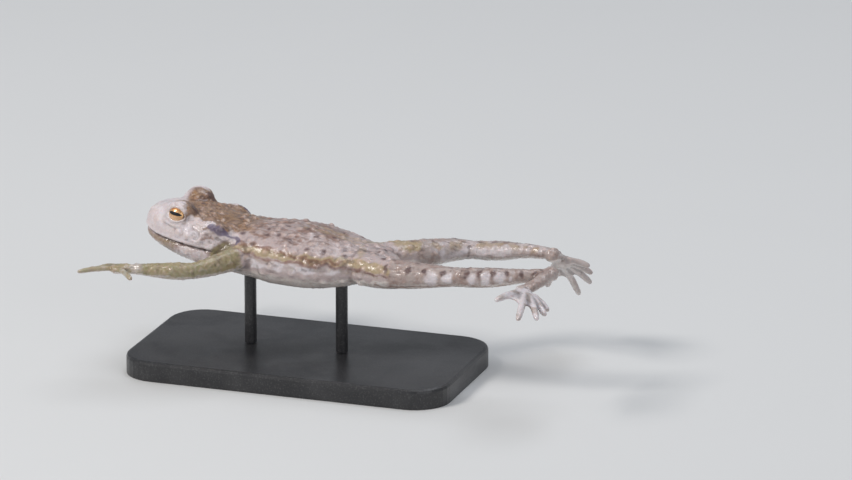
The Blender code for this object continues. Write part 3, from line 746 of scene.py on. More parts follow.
@dataclass
class ToadEye:
    """One eyeball with a slightly bulging front."""

    place: EyePlace
    space: ToadSpace
    rings: int = 44
    bulge: float = 0.10
    bulge_edge: float = 0.55
    off_front: float = 9.0

    def build(self, finish: bpy.types.Material) -> bpy.types.Object:
        """Makes and dresses the eyeball.

        Args:
            finish: the eye's material.

        Returns:
            The finished eyeball, in the frame's metres.
        """
        ball = bmesh.new()
        bmesh.ops.create_uvsphere(ball, u_segments=self.rings * 2, v_segments=self.rings, radius=self.place.radius)
        turn = Vector((0.0, 0.0, 1.0)).rotation_difference(self.place.gaze).to_matrix().to_4x4()
        bmesh.ops.transform(ball, matrix=turn, verts=ball.verts)
        across = ball.verts.layers.float.new("across")
        upward = ball.verts.layers.float.new("upward")
        gaze, forward, high = self.place.gaze, self.place.forward, self.place.upward
        for vertex in ball.verts:
            outward = vertex.co.normalized()
            facing = outward.dot(gaze)
            vertex[across] = vertex.co.dot(forward) if facing > 0 else self.off_front
            vertex[upward] = vertex.co.dot(high) if facing > 0 else self.off_front
            if facing > self.bulge_edge:
                t = (facing - self.bulge_edge) / (1.0 - self.bulge_edge)
                vertex.co += outward * self.bulge * t * t * (3 - 2 * t)
        bmesh.ops.translate(ball, verts=ball.verts, vec=self.place.middle)
        bmesh.ops.transform(ball, matrix=self.space.to_frame(), verts=ball.verts)
        for face in ball.faces:
            face.smooth = True
        mesh = bpy.data.meshes.new("eyeball_" + self.place.side.word)
        ball.to_mesh(mesh)
        ball.free()
        piece = add_piece(mesh.name, mesh, finish)
        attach(piece, "root")
        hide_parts("eye_" + self.place.side.word)
        log.info("%s: %d faces", piece.name, len(mesh.polygons))
        return piece


# ---------------------------------------------------------------------------
# The skin
# ---------------------------------------------------------------------------


class Clay:
    """A mesh's points held as arrays, so that they can be smoothed and pushed together."""

    def __init__(self, mesh: bpy.types.Mesh) -> None:
        """Reads the mesh's points and edges.

        Args:
            mesh: the mesh to work on.
        """
        self.mesh = mesh
        count = len(mesh.vertices)
        self.points = np.empty(count * 3)
        mesh.vertices.foreach_get("co", self.points)
        self.points = self.points.reshape(-1, 3)
        pairs = np.empty(len(mesh.edges) * 2, np.int64)
        mesh.edges.foreach_get("vertices", pairs)
        self.ends = pairs.reshape(-1, 2)
        self.links = np.maximum(np.bincount(pairs, minlength=count), 1).astype(float)

    def around(self, values: Array) -> Array:
        """The mean of each point's neighbours' values.

        Args:
            values: a number or a row for each point.

        Returns:
            The means, in the same form.
        """
        if values.ndim > 1:
            return np.stack([self.around(column) for column in values.T], axis=1)
        a, b = self.ends.T
        count = len(self.points)
        return (np.bincount(a, values[b], count) + np.bincount(b, values[a], count)) / self.links

    def relax(self, rounds: int, share: Array, shrink: float = 0.5, swell: float = 0.52) -> None:
        """Smooths the points without thinning the piece.

        Args:
            rounds: how many times to smooth.
            share: how much of each move each point takes, from 0 to 1.
            shrink: the inward half of a round.
            swell: the outward half of a round.
        """
        held = share[:, None]
        for _ in range(rounds):
            self.points += shrink * held * (self.around(self.points) - self.points)
            self.points -= swell * held * (self.around(self.points) - self.points)

    def blurred(self, values: Array, rounds: int) -> Array:
        """Spreads values, or points, over their neighbours.

        Args:
            values: a number or a row for each point.
            rounds: how many times to spread them.

        Returns:
            The spread values.
        """
        for _ in range(rounds):
            values = 0.5 * values + 0.5 * self.around(values)
        return values

    def write(self) -> None:
        """Puts the points back in the mesh."""
        self.mesh.vertices.foreach_set("co", self.points.astype(np.float32).ravel())
        self.mesh.update()

    def normals(self) -> Array:
        """Finds the outward direction at each point as the points now lie.

        Returns:
            The directions, one a row.
        """
        self.write()
        out = np.empty(len(self.points) * 3, np.float32)
        self.mesh.vertex_normals.foreach_get("vector", out)
        return out.reshape(-1, 3).astype(float)

    def push(self, amounts: Array, spread: int = 0) -> None:
        """Moves each point outward by its own amount.

        Args:
            amounts: how far each point goes, inward where negative.
            spread: how far the outward directions are evened out first.
        """
        outward = self.normals()
        if spread:
            outward = self.blurred(outward, spread)
            outward /= np.maximum(np.linalg.norm(outward, axis=1), 1e-6)[:, None]
        self.points += outward * amounts[:, None]

    def paint(self, name: str, values: Array) -> None:
        """Writes a value for each point on the mesh."""
        layer = self.mesh.attributes.new(name, "FLOAT", "POINT")
        layer.data.foreach_set("value", values.astype(np.float32))


@dataclass(frozen=True)
class BodyLines:
    """The toad's own lines, which place its folds and its markings.

    The limbs come in pairs, left and right, because their poses differ.
    """

    lip: tuple[tuple[float, float], ...] = (
        (0.6, -0.8), (2, -1.4), (5, -2.1), (12, -2.9), (20.5, -3.9), (28, -5.0), (40, -6.0), (52, -6.3), (66, -6.4),
    )
    underside: tuple[tuple[float, float], ...] = (
        (0.6, -2.0), (1.0, -2.9), (1.9, -3.8), (4.2, -5.1), (8, -6.8), (14, -8.7), (20, -10.2), (27, -11.6),
        (36, -13.0), (44, -13.2), (52, -12.2), (58, -10.8), (63, -9.2), (66, -8.0),
    )
    arms: tuple[Line, Line] = (
        ((27.8, -9.6, -5.2), (18.6, -21, -6.3), (4.8, -23.8, -6.3)),
        ((27.8, 9.6, -5.4), (19, 19.4, -8), (6.2, 17.2, -9.4)),
    )
    legs: tuple[Line, Line] = (
        ((61, -6.8, -6.1), (85, -9.2, -4.6), (105.6, -3.8, -3.5)),
        ((60.5, 7.2, -7.0), (77.5, 22.6, -7.6), (99.5, 17.0, -4.8)),
    )
    tarsi: tuple[Line, Line] = (
        ((106, -2.8, -3.4), (101.9, -17, -4.9)),
        ((100.2, 16.0, -4.8), (97.6, 28.6, -9.6)),
    )
    ankles: tuple[Point, Point] = ((102.8, -14.6, -4.6), (98.1, 26.6, -8.8))
    gland: Line = ((16.8, -7.6, 1.8), (24.4, -8.1, -0.3))
    mouth_corner: float = 20.5
    mouth_drop: float = 0.10
    lip_half_width: float = 12.4

    def lip_height(self, x: Array) -> Array:
        """The height of the widest line, which is the lip on the head."""
        return np.interp(x, *zip(*self.lip))

    def under_height(self, x: Array) -> Array:
        """The height of the underside."""
        return np.interp(x, *zip(*self.underside))

    def above_lip(self, points: Array) -> Array:
        """How far each point lies above the widest line."""
        return points[:, 2] - self.lip_height(points[:, 0])


@dataclass(frozen=True)
class Streak:
    """A line of colour, which fades out from the inner to the outer distance.

    A flat one is measured as it is seen from the side, so that it runs unbroken
    over the folds of the flank.
    """

    layer: str
    line: Line
    outer: float
    inner: float
    strength: float
    flat: bool = False
    sides: tuple[Side, ...] = (Side.LEFT, Side.RIGHT)


class Coat:
    """The layers that are painted on the skin, over places that wander a little from its own.

    Blender seeds the noise of that wander by the clock, so the edges of the
    markings differ slightly from run to run.
    """

    grain: float = 0.55
    wander: float = 0.75
    squeeze: Point = (1.0, 0.3, 1.0)

    def __init__(self, clay: Clay) -> None:
        """Starts the coat.

        Args:
            clay: the shaped skin.
        """
        drift = [noise.noise_vector(tuple(point * self.grain)) for point in clay.points]
        self.places = clay.points + np.array(drift) * self.wander
        self.layers: Masks = {}

    def lay(self, name: str, values: Array) -> None:
        """Paints a layer where the values are stronger than what it has."""
        self.layers[name] = np.maximum(self.layers.get(name, 0.0), values)

    def spot(self, name: str, centre: Point, outer: float, inner: float, strength: float) -> None:
        """Paints a round spot that fades out from the inner to the outer distance."""
        self.lay(name, strength * step(away(self.places, centre), outer, inner))

    def to_line(self, line: Line, side: Side, flat: bool = False) -> tuple[Array, Array]:
        """Measures the places against a line.

        Args:
            line: the line on the left side.
            side: the side on which it is wanted.
            flat: whether it is seen from the side.

        Returns:
            The distance of each place from the line, and how far along it that is.
        """
        squeeze = np.array(self.squeeze if flat else (1.0, 1.0, 1.0))
        return along_line(self.places * squeeze, tuple(np.array(point) * squeeze for point in side.line(line)))

    def near_line(self, line: Line, outer: float, inner: float) -> Array:
        """How near each place is to a line on either side, from 0 at outer to 1 at inner."""
        return step(np.minimum(*(self.to_line(line, side)[0] for side in Side)), outer, inner)

    def streak(self, streak: Streak, share: Array | float = 1.0) -> None:
        """Paints a line of colour.

        Args:
            streak: the line.
            share: how much of it shows at each place.
        """
        for side in streak.sides:
            gap, _ = self.to_line(streak.line, side, streak.flat)
            self.lay(streak.layer, streak.strength * step(gap, streak.outer, streak.inner) * share)


@dataclass
class ToadMarkings:
    """The toad's markings. Those of its near, left side follow the photograph."""

    lines: BodyLines
    eyes: tuple[EyePlace, EyePlace]
    # Painted highlight: a pale lilac streak over the front of each gland, where wet skin catches the light.
    gland_front_highlight: Line = ((14.6, -8.8, 2.2), (17.2, -8.9, 3.1), (20.0, -9.2, 2.9))
    slate_line: Line = (
        (19.7, -9.8, 1.9), (21.6, -10.0, 1.5), (23.8, -10.0, 0.6), (25.6, -9.5, -0.4), (27.1, -9.0, -1.4),
    )
    streaks: tuple[Streak, ...] = (
        Streak("russet", ((27.4, -9.4, -1.3), (33.5, -10.3, -1.7), (39.7, -11.3, -2.2), (46.3, -11.9, -3.4),
                          (54.0, -10.2, -3.8)), 0.782, 0.138, 0.90, True),
        # This russet line and the next run along the low fold of the flank: partly the toad's red-brown line,
        # partly painted shadow of the fold.
        Streak("russet", ((28.1, -11.5, -2.8), (36.7, -12.1, -4.3), (42.5, -12.4, -4.4)), 0.68, 0.12, 0.75, True),
        Streak("russet", ((40.5, -12.4, -4.3), (50.8, -12.0, -4.4), (55.7, -11.0, -4.9), (60.8, -10.4, -5.1),
                          (67.0, -10.8, -5.8)), 0.85, 0.15, 0.85, True),
        Streak("russet", ((24.0, -3.4, 2.6), (30.0, -4.0, 2.0), (38.0, -4.4, 1.7), (47.0, -3.6, 0.8)),
               0.765, 0.135, 0.55),
        Streak("yellow", ((27.7, -10.6, -2.0), (37.4, -11.8, -2.9), (48.0, -11.7, -3.4), (60.9, -9.9, -3.8),
                          (67.0, -10.2, -4.4)), 1.53, 0.45, 0.95, True),
        Streak("yellow", ((42.0, 1.4, 1.6), (49.2, 0.9, 0.4), (57.0, 1.2, -1.4)), 1.19, 0.35, 0.5),
        Streak("yellow", ((57.4, -3.0, -1.6), (58.6, -7.0, -3.0), (58.9, -9.6, -4.6)), 1.87, 0.55, 0.6),
    )
    # Painted shadow: a dark line in the fold low on the flank, in front of the thigh.
    low_crease_shadow: Streak = Streak(
        "dark", ((49.0, -12.1, -4.5), (55.7, -11.0, -5.0), (60.8, -10.4, -5.2), (67.0, -10.8, -5.9)),
        0.9, 0.2, 0.55, True,
    )
    # Painted highlight: a white streak of wet glints along the belly's edge.
    belly_edge_glint: Streak = Streak(
        "cell", ((31.5, -11.9, -5.6), (38.0, -12.6, -5.7), (44.2, -12.8, -5.7), (52.1, -12.1, -6.2),
                 (58.0, -11.0, -7.0)), 1.7, 0.6, 0.92,
    )
    # The right shank's shaded near side, where painted light is laid.
    far_shank: Line = ((71.0, -14.6, -5.2), (77.5, -21.2, -5.2), (88.0, -18.4, -3.6), (97.0, -16.0, -2.8))
    low_shank: Line = ((73.5, -15.4, -7.2), (77.5, -19.0, -7.3), (86.0, -17.0, -5.8), (92.0, -15.6, -4.9))
    spots: tuple[tuple[float, float, float, float], ...] = (
        (28.1, -7.1, 0.4, 0.85), (31.4, -9.9, -1.6, 0.7), (33.6, -4.7, 1.4, 0.9), (34.2, -7.1, 0.6, 0.85),
        (36.9, -6.8, 0.7, 0.8), (40.5, -8.5, 0.3, 1.0), (45.8, -10.0, -1.4, 1.05), (46.3, -5.1, 0.7, 0.8),
        (49.6, -8.9, -1.6, 1.05), (54.1, -5.8, -1.6, 1.1), (54.6, -8.0, -2.7, 1.0), (58.1, -3.8, -2.1, 0.95),
        (61.4, -1.5, -2.9, 0.85), (64.9, -8.1, -2.6, 0.9), (38.0, -2.2, 2.0, 0.8), (43.0, -2.0, 1.7, 0.7),
        (50.5, -2.4, 0.3, 0.9), (24.8, -2.6, 2.6, 0.7), (18.0, -2.0, 3.6, 0.6), (13.9, -1.3, 4.2, 0.55),
    )
    right_jog: float = 0.5
    patches: tuple[tuple[str, Point, float, float, float], ...] = (
        ("dark", (15.0, -5.6, 5.2), 2.5, 1.0, 0.75), ("dark", (15.0, 5.6, 5.2), 2.5, 1.0, 0.75),
        ("dark", (13.6, -3.6, 4.6), 1.5, 0.5, 0.60), ("dark", (13.6, 3.6, 4.6), 1.5, 0.5, 0.60),
        # The dark patch at x 71.8 is painted shadow at the right thigh's root; the one at the wrist is a pale
        # patch.
        ("dark", (71.8, 11.6, -5.0), 2.6, 0.8, 0.62), ("cell", (6.2, -24.0, -5.2), 3.2, 1.2, 0.55),
    )
    thigh_marks: tuple[tuple[float, float, float, float], ...] = (
        (0.24, 0.0, 0.8, 0.0), (0.49, 0.0, 0.75, 0.0), (0.66, 1.35, 0.5, 1.15), (0.85, 1.1, 0.7, 0.9),
    )
    shin_marks: tuple[tuple[float, float, float, float], ...] = (
        (0.06, 1.05, 1.0, 1.0), (0.236, 0.95, 0.9, 0.95), (0.388, 0.95, 0.95, 0.9), (0.53, 0.40, 0.75, 0.75),
        (0.70, 0.0, 0.75, 0.0), (0.86, 0.0, 0.6, 0.0),
    )
    arm_bars: tuple[tuple[float, ...], ...] = ((0.45, 0.8), (0.09, 0.50, 0.80))
    relief_blur: int = 11
    relief_height: float = 0.16

    def paint(self, clay: Clay, masks: Masks, tops: Array) -> None:
        """Paints the masks that the skin's material reads.

        Args:
            clay: the finished skin.
            masks: the regions from limb_share.
            tops: the warts' tops.
        """
        points, normals = clay.points, clay.normals()
        coat = Coat(clay)
        hand_foot = np.maximum(masks["hand"], masks["foot"])
        self._regions(coat, masks, hand_foot, step(normals[:, 2], -0.15, -0.75))
        self._mouth(coat, points)
        self._body_marks(coat)
        for side, arm, leg in zip(Side, self.lines.arms, self.lines.legs):
            self._leg_marks(coat, side, leg)
            self._arm_marks(coat, arm)
        wet = np.array([noise.noise(tuple(point * 0.45)) for point in points])
        self._pale_and_painted_light_patches(coat, masks, wet, points[:, 1] < 0.0)
        coat.layers["dark"] *= 1.0 - 0.6 * hand_foot
        # relief: how far each point stands out from its smoothed surroundings; the material paints shade into its
        # hollows and highlight onto its raised places from it.
        relief = np.sum((points - clay.blurred(points, self.relief_blur)) * normals, axis=1) / self.relief_height
        coat.layers.update(
            wart=tops * (1.0 - 0.7 * coat.layers["pale"]), limb=masks["leg"] * (1.0 - masks["foot"]),
            foot=masks["foot"], relief=np.clip(relief, -1.5, 1.5),
        )
        for name, values in coat.layers.items():
            clay.paint(name, values)

    def _regions(self, coat: Coat, masks: Masks, hand_foot: Array, under: Array) -> None:
        """Paints the broad regions of colour.

        Args:
            coat: the coat.
            masks: the regions from limb_share.
            hand_foot: the share of hand or foot.
            under: how much each point faces down.
        """
        w = coat.places
        x, y = w[:, 0], np.abs(w[:, 1])
        rise = self.lines.above_lip(w)
        drop = -rise / np.maximum(self.lines.lip_height(x) - self.lines.under_height(x), 0.5)
        limb = np.maximum.reduce((masks["arm"], masks["leg"], hand_foot))
        trunk = 1.0 - limb
        upper = step(rise, -0.6, 0.4)
        snout = step(x, 12.0, 7.0)
        cheek = step(x, 20.5, 16.0) * step(rise, 6.5, 4.0)
        face_side = np.maximum(cheek, step(x, 25.5, 21.5) * step(rise, 3.4, 2.2))
        lids = np.maximum(*(step(away(w, eye.middle), 5.0, 3.8) for eye in self.eyes))
        lids *= step(x, 14.6, 12.4) * (1.0 - 0.72 * step(y, 6.8, 5.2) * step(x, 8.2, 10.0))

        brown = step(x, 8.5, 12.0) * step(x, 36.0, 24.0) * step(rise, 4.0, 6.0) * trunk
        coat.lay("brown", brown)
        gland = coat.near_line(self.lines.gland, 3.4, 2.4) * (1.0 - brown)
        # Painted highlight on each gland's front, laid into the pale layer.
        gland_front_highlight = coat.near_line(self.gland_front_highlight, 2.2, 1.1)
        # The rear of the lower jaw: paler skin, partly painted wet glints.
        back_jaw_pale_and_glint = step(x, 9.0, 13.0) * step(x, 24.0, 21.0) * step(rise, 0.0, -0.7) * step(drop, 1.0, 0.45)
        # The pale layer: partly the face's own paler skin, partly painted sunlight on the snout and cheeks and a
        # painted highlight on the lid crests.
        for part in (face_side, snout, 0.75 * lids, 0.8 * gland, 0.9 * gland_front_highlight):
            coat.lay("pale", part * trunk * upper)
        coat.lay("pale", 0.72 * back_jaw_pale_and_glint * trunk)
        coat.lay("flank", step(rise, 6.8, 4.4) * step(x, 22.0, 28.0) * trunk + 0.3 * masks["leg"])
        throat = step(drop, 0.18, 0.95) * step(x, 25.0, 20.0)
        coat.lay("belly", np.maximum(throat, step(drop, 0.15, 0.55) * step(x, 20.0, 25.0)) * trunk)
        coat.lay("belly", 0.75 * under * limb)
        coat.lay("olive", np.maximum(0.9 * masks["arm"], 0.75 * masks["hand"]))
        coat.lay("olive", 0.34 * step(x, 20.0, 26.0) * hump(rise - 0.6, 1.5) * trunk)
        coat.lay("olive", 0.46 * step(x, 15.0, 9.0) * step(rise, 0.2, -0.6) * step(drop, 1.0, 0.2) * trunk)
        for part in (0.25 * face_side, 0.35 * snout * upper, hand_foot, 0.3 * lids):
            coat.lay("smooth", part)

    def _mouth(self, coat: Coat, points: Array) -> None:
        """Paints shade along the line of the mouth, in the lip's groove.

        Args:
            coat: the coat.
            points: the skin's points.
        """
        x, corner = points[:, 0], self.lines.mouth_corner
        on_lip = step(x, corner + 0.6, corner - 1.0) * step(x, 0.3, 2.0)
        on_lip *= np.abs(points[:, 1]) < self.lines.lip_half_width
        off = self.lines.above_lip(points) + self.lines.mouth_drop
        # Painted shade: a dark line in the mouth's groove.
        coat.lay("dark", 0.52 * hump(off - 0.05, 0.36) * on_lip)

    def _body_marks(self, coat: Coat) -> None:
        """Paints the streaks, among them a painted shadow in the low flank fold, the slate bands behind the glands
        with their painted shadow, and the dark spots.

        Args:
            coat: the coat.
        """
        y = np.abs(coat.places[:, 1])
        # Painted shadow in the low flank fold.
        coat.streak(self.low_crease_shadow, step(y, 7.0, 8.5))
        for streak in self.streaks:
            coat.streak(streak)
        # The slate band behind each gland: partly dark marking, partly painted shadow under the gland.
        for side in Side:
            gap, far = coat.to_line(self.slate_line, side, flat=True)
            thick = 0.40 + 0.36 * hump(far - 3.6, 2.4)
            coat.lay("band", 1.2 * step(gap, thick * 1.9, thick * 0.4) * step(y, 7.4, 8.8))
        for x, y, z, radius in self.spots:
            for side, jog in ((Side.LEFT, 0.0), (Side.RIGHT, self.right_jog)):
                coat.spot("dark", side.place((x + jog, y, z)), radius * 1.45, radius * 0.25, 0.85)
        for patch in self.patches:
            coat.spot(*patch)

    def _leg_marks(self, coat: Coat, side: Side, leg: Line) -> None:
        """Paints one leg's dark bars, pale cells and russet fringe.

        Args:
            coat: the coat.
            side: the leg's side.
            leg: its hip, knee and heel.
        """
        for start, end, marks in zip(leg[:-1], leg[1:], (self.thigh_marks, self.shin_marks)):
            bone = BoneGauge(coat.places, start, end)
            t, length, around = bone.along, bone.length, bone.around((0.0, side.value, 0.35))
            on_limb = (bone.gap < 6.5) & (t > -1) & (t < length + 1)
            for share, pale_size, dark_size, behind in marks:
                spot = np.hypot(t - share * length, (around - 0.22) * 2.2)
                coat.lay("dark", step(spot, 1.65 * dark_size, 0.20 * dark_size) * on_limb)
                high = np.hypot((t - (share + 0.05) * length) * 0.7, (around - 1.05) * 2.4)
                coat.lay("dark", 0.62 * step(high, 1.2 * dark_size, 0.30 * dark_size) * on_limb)
                # The pale cells: partly the leg's own pattern, partly painted wet glints.
                if pale_size:
                    patch = np.hypot((t - share * length - 1.55 * behind) * 0.95, (around + 0.27) * 2.6)
                    coat.lay("cell", step(patch, 1.95 * pale_size, 0.30 * pale_size) * on_limb)
            scallop = 0.14 * np.abs(np.sin(t * 0.95))
            fringe = hump(around + 0.86 + scallop, 0.10) * step(t, 1.0, 4.0) * step(t, length, length - 2.0)
            coat.lay("russet", 0.85 * fringe * on_limb)

    def _arm_marks(self, coat: Coat, arm: Line) -> None:
        """Paints one arm's faint bars.

        Args:
            coat: the coat.
            arm: its shoulder, elbow and wrist.
        """
        for start, end, bars in zip(arm[:-1], arm[1:], self.arm_bars):
            bone = BoneGauge(coat.places, start, end)
            top = (bone.gap < 4.5) * step(bone.off[:, 2], -0.5, 1.0)
            for share in bars:
                coat.lay("dark", 0.42 * hump(bone.along - share * bone.length, 0.7) * top)

    def _pale_and_painted_light_patches(self, coat: Coat, masks: Masks, wet: Array, on_left: Array) -> None:
        """Paints the patches that a slow noise breaks up: pale patches on the hands, painted wet glints on the feet
        and along the belly's edge, and painted light on the far shank's shaded side.

        Args:
            coat: the coat.
            masks: the regions from limb_share.
            wet: the slow noise.
            on_left: which points are on the left side.
        """
        # Painted glints: the feet, the near one most, are painted white where wet skin catches the light.
        coat.lay("cell", np.where(on_left, 0.85, 0.30) * masks["foot"] * step(wet, -0.30, 0.05))
        coat.lay("cell", 0.35 * masks["hand"] * step(wet, -0.05, 0.25))
        coat.streak(self.belly_edge_glint, 0.45 + 0.55 * step(wet, -0.30, 0.0))
        # Painted light: the far shank's shaded side is painted yellower and paler.
        far = (Side.RIGHT,)
        coat.streak(Streak("yellow", self.far_shank, 2.8, 0.9, 0.52, sides=far), step(wet, -0.35, 0.1))
        coat.streak(Streak("cell", self.far_shank, 3.6, 1.4, 0.50, sides=far), step(wet, 0.25, -0.20))
        broken = 0.55 + 0.45 * step(wet, 0.30, -0.20)
        coat.streak(Streak("cell", self.low_shank, 3.4, 1.2, 0.80, sides=far), broken)


@dataclass
class ToadSkin:
    """The one skin that closes over every solid of flesh."""

    space: ToadSpace
    eyes: tuple[EyePlace, EyePlace]
    lines: BodyLines = BodyLines()
    flesh: tuple[str, ...] = (
        "head", "torso",
        "upper_arm_left", "upper_arm_right", "forearm_left", "forearm_right", "hand_left", "hand_right",
        "thigh_left", "thigh_right", "shin_left", "shin_right", "tarsus_left", "tarsus_right",
        "foot_left", "foot_right",
    )
    swell: float = 0.25
    voxel: float = 0.39
    socket_fill: float = 3.0
    fine_reach: float = 21.5
    fine_below_lip: float = 2.8
    face_half_width: float = 12.6
    lid_opening: Point = (0.84, 0.60, 0.53)
    lid_height: float = 0.36
    lid_reach: float = 7.5
    nostril: Point = (2.3, -2.0, 3.0)
    eardrum: Point = (16.8, -10.8, -0.4)
    body_folds: tuple[tuple[Line, float, float], ...] = (
        (((20.5, -10.9, -1.6), (24.5, -10.9, -3.2), (28.5, -10.6, -5.6)), 0.22, 0.45),
        (((18.0, -10.2, 0.4), (21.5, -10.3, -0.6), (25.5, -9.9, -2.0)), 0.16, 0.40),
        (((20.5, -11.2, -3.9), (23.0, -11.2, -5.2), (25.5, -10.6, -7.4)), 0.20, 0.45),
        (((31.5, -11.6, -3.0), (33.0, -12.0, -5.8), (33.5, -11.0, -9.0)), 0.15, 0.5),
        (((34.0, -11.2, -1.9), (42.0, -12.0, -3.2), (50.0, -11.4, -4.0), (57.0, -9.8, -4.6)), 0.14, 0.55),
        (((36.0, -12.2, -5.2), (44.0, -12.7, -5.8), (52.0, -11.7, -5.9), (59.0, -9.8, -5.6)), 0.16, 0.6),
        (((24.0, -4.2, 2.0), (30.0, -3.6, 1.8), (38.0, -3.2, 1.9)), 0.06, 0.7),
    )
    throat_folds: tuple[float, ...] = (19.0, 20.6, 22.4)
    gland_pits: int = 26
    seed: int = 66

    # ---- closing the skin ----

    def closed_solids(self, nodes: Solids) -> bpy.types.Mesh:
        """Swells copies of the solids until they meet, and remeshes them as one.

        Args:
            nodes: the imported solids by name.

        Returns:
            One closed mesh in the toad's space, without seams.
        """
        joined = bmesh.new()
        for name in self.flesh:
            part = bmesh.new()
            part.from_mesh(nodes[name].data)
            bmesh.ops.remove_doubles(part, verts=part.verts, dist=1e-6)
            bmesh.ops.transform(part, matrix=self.space.to_toad(), verts=part.verts)
            part.normal_update()
            outward = [vertex.normal.copy() for vertex in part.verts]
            for vertex, direction in zip(part.verts, outward):
                vertex.co += direction * self.swell
            copied = bpy.data.meshes.new("part")
            part.to_mesh(copied)
            part.free()
            joined.from_mesh(copied)
            bpy.data.meshes.remove(copied)
        for eye in self.eyes:
            spot = Matrix.Translation(eye.middle)
            bmesh.ops.create_icosphere(joined, subdivisions=4, radius=self.socket_fill, matrix=spot)
        rough = bpy.data.meshes.new("rough skin")
        joined.to_mesh(rough)
        joined.free()
        body = bpy.data.objects.new("rough skin", rough)
        bpy.context.scene.collection.objects.link(body)
        closing = body.modifiers.new("closing", "REMESH")
        closing.mode = "VOXEL"
        closing.voxel_size = self.voxel
        closing.use_smooth_shade = True
        graph = bpy.context.evaluated_depsgraph_get()
        closed = bpy.data.meshes.new_from_object(body.evaluated_get(graph))
        bpy.data.objects.remove(body)
        bpy.data.meshes.remove(rough)
        closed.name = "toad_skin"
        return closed

    def refine_face(self, mesh: bpy.types.Mesh) -> None:
        """Halves the mesh's size on the head, where the lids and lips are.

        Args:
            mesh: the closed skin.
        """
        points = Clay(mesh).points
        on_face = (points[:, 0] < self.fine_reach) & (np.abs(points[:, 1]) < self.face_half_width)
        on_face &= self.lines.above_lip(points) > -self.fine_below_lip
        shape = bmesh.new()
        shape.from_mesh(mesh)
        edges = [edge for edge in shape.edges if all(on_face[vertex.index] for vertex in edge.verts)]
        bmesh.ops.subdivide_edges(shape, edges=edges, cuts=1, use_grid_fill=True)
        shape.to_mesh(mesh)
        shape.free()

    # ---- regions ----

    def limb_share(self, points: Array) -> Masks:
        """How much each point belongs to each kind of region.

        Args:
            points: the skin's points.

        Returns:
            Masks from 0 to 1 named arm, leg, hand and foot.
        """
        masks = {name: np.zeros(len(points)) for name in ("arm", "leg", "hand", "foot")}
        x, outward = points[:, 0], np.abs(points[:, 1])

        def lay(name: str, values: Array) -> None:
            """Raises a mask to the values where they are higher."""
            np.maximum(masks[name], values, out=masks[name])

        for arm, leg, tarsus, ankle in zip(self.lines.arms, self.lines.legs, self.lines.tarsi, self.lines.ankles):
            wrist, heel = arm[-1], abs(ankle[1])
            gap, far = along_line(points, arm)
            lay("arm", step(gap, 5.6, 4.2) * step(far, 0.0, 2.5))
            past = step(x, wrist[0] + 0.8, wrist[0] - 0.8)
            beside = step(outward, abs(wrist[1]) + 1.5, abs(wrist[1]) + 2.5) * step(gap, 2.9, 3.5) * (x < 11.0)
            same_side = (np.sign(points[:, 1]) == np.sign(wrist[1])) * (outward > 12.0)
            lay("hand", np.maximum(past, beside) * step(away(points, wrist), 19.0, 17.0) * same_side)
            gap, far = along_line(points, leg)
            lay("leg", step(gap, 7.0, 5.4) * step(far, 4.0, 9.0))
            lay("leg", step(along_line(points, tarsus)[0], 4.5, 3.2))
            lay("foot", step(outward, heel - 0.8, heel + 0.8) * step(away(points, ankle), 24.0, 22.0))
        return masks

    # ---- shaping ----

    def shape_lids(self, clay: Clay) -> None:
        """Draws the lids in round each eyeball, with a rim and a fold behind it.

        Args:
            clay: the skin.
        """
        wide, high_half, low_half = self.lid_opening
        for eye in self.eyes:
            middle, gaze, forward, upward = (np.array(v) for v in (eye.middle, eye.gaze, eye.forward, eye.upward))
            spoke = clay.points - middle
            reach = np.linalg.norm(spoke, axis=1)
            near = np.flatnonzero((reach < self.lid_reach) & (reach > 0.1))
            spoke, reach = spoke[near], reach[near]
            ray = spoke / reach[:, None]
            facing, u, w = ray @ gaze, ray @ forward, ray @ upward
            tall = np.where(w > 0, high_half, low_half)
            e = np.sqrt((u / wide) ** 2 + (w / tall) ** 2 * (1.0 + 0.30 * (u / wide) ** 2))
            rim = eye.radius + self.lid_height + 0.10 * step(w, 0.0, 0.5)
            wall = eye.radius - 0.38 + (rim - eye.radius + 0.38) * step(e, 0.90, 1.03)
            outer = rim + (reach - rim) * step(e, 1.06, 1.55)
            fold = 0.17 * hump(e - 1.62, 0.075) + 0.10 * hump(e - 1.36, 0.05)
            target = np.where(e < 1.03, wall, outer) - fold
            pull = step(facing, 0.02, 0.30) * step(e, 2.6, 1.9)
            moved = reach + (target - reach) * pull
            clay.points[near] = middle + ray * moved[:, None]

    def shape_mouth(self, clay: Clay) -> None:
        """Presses the line of the mouth in, with a fuller lip above it.

        Args:
            clay: the skin.
        """
        lines = self.lines
        x = clay.points[:, 0]
        on_head = step(x, lines.mouth_corner + 1.2, lines.mouth_corner - 1.0)
        on_head *= (np.abs(clay.points[:, 1]) < lines.lip_half_width) & (x < 22)
        off = lines.above_lip(clay.points) + lines.mouth_drop
        clay.relax(11, 0.9 * on_head * step(np.abs(off), 1.6, 0.9))
        off = lines.above_lip(clay.points) + lines.mouth_drop
        amount = -0.42 * hump(off, 0.25) + 0.14 * hump(off - 0.85, 0.42) + 0.06 * hump(off + 0.75, 0.35)
        clay.push(amount * on_head, 10)

    def shape_nostrils(self, clay: Clay) -> None:
        """Opens the two nostrils, each with a raised edge.

        Args:
            clay: the skin.
        """
        amount = np.zeros(len(clay.points))
        for side in Side:
            off = clay.points - np.array(side.place(self.nostril))
            gap = np.linalg.norm(off * (0.8, 1.0, 1.15), axis=1)
            amount += -0.62 * hump(gap, 0.34) + 0.13 * hump(gap - 0.72, 0.20)
        clay.push(amount)

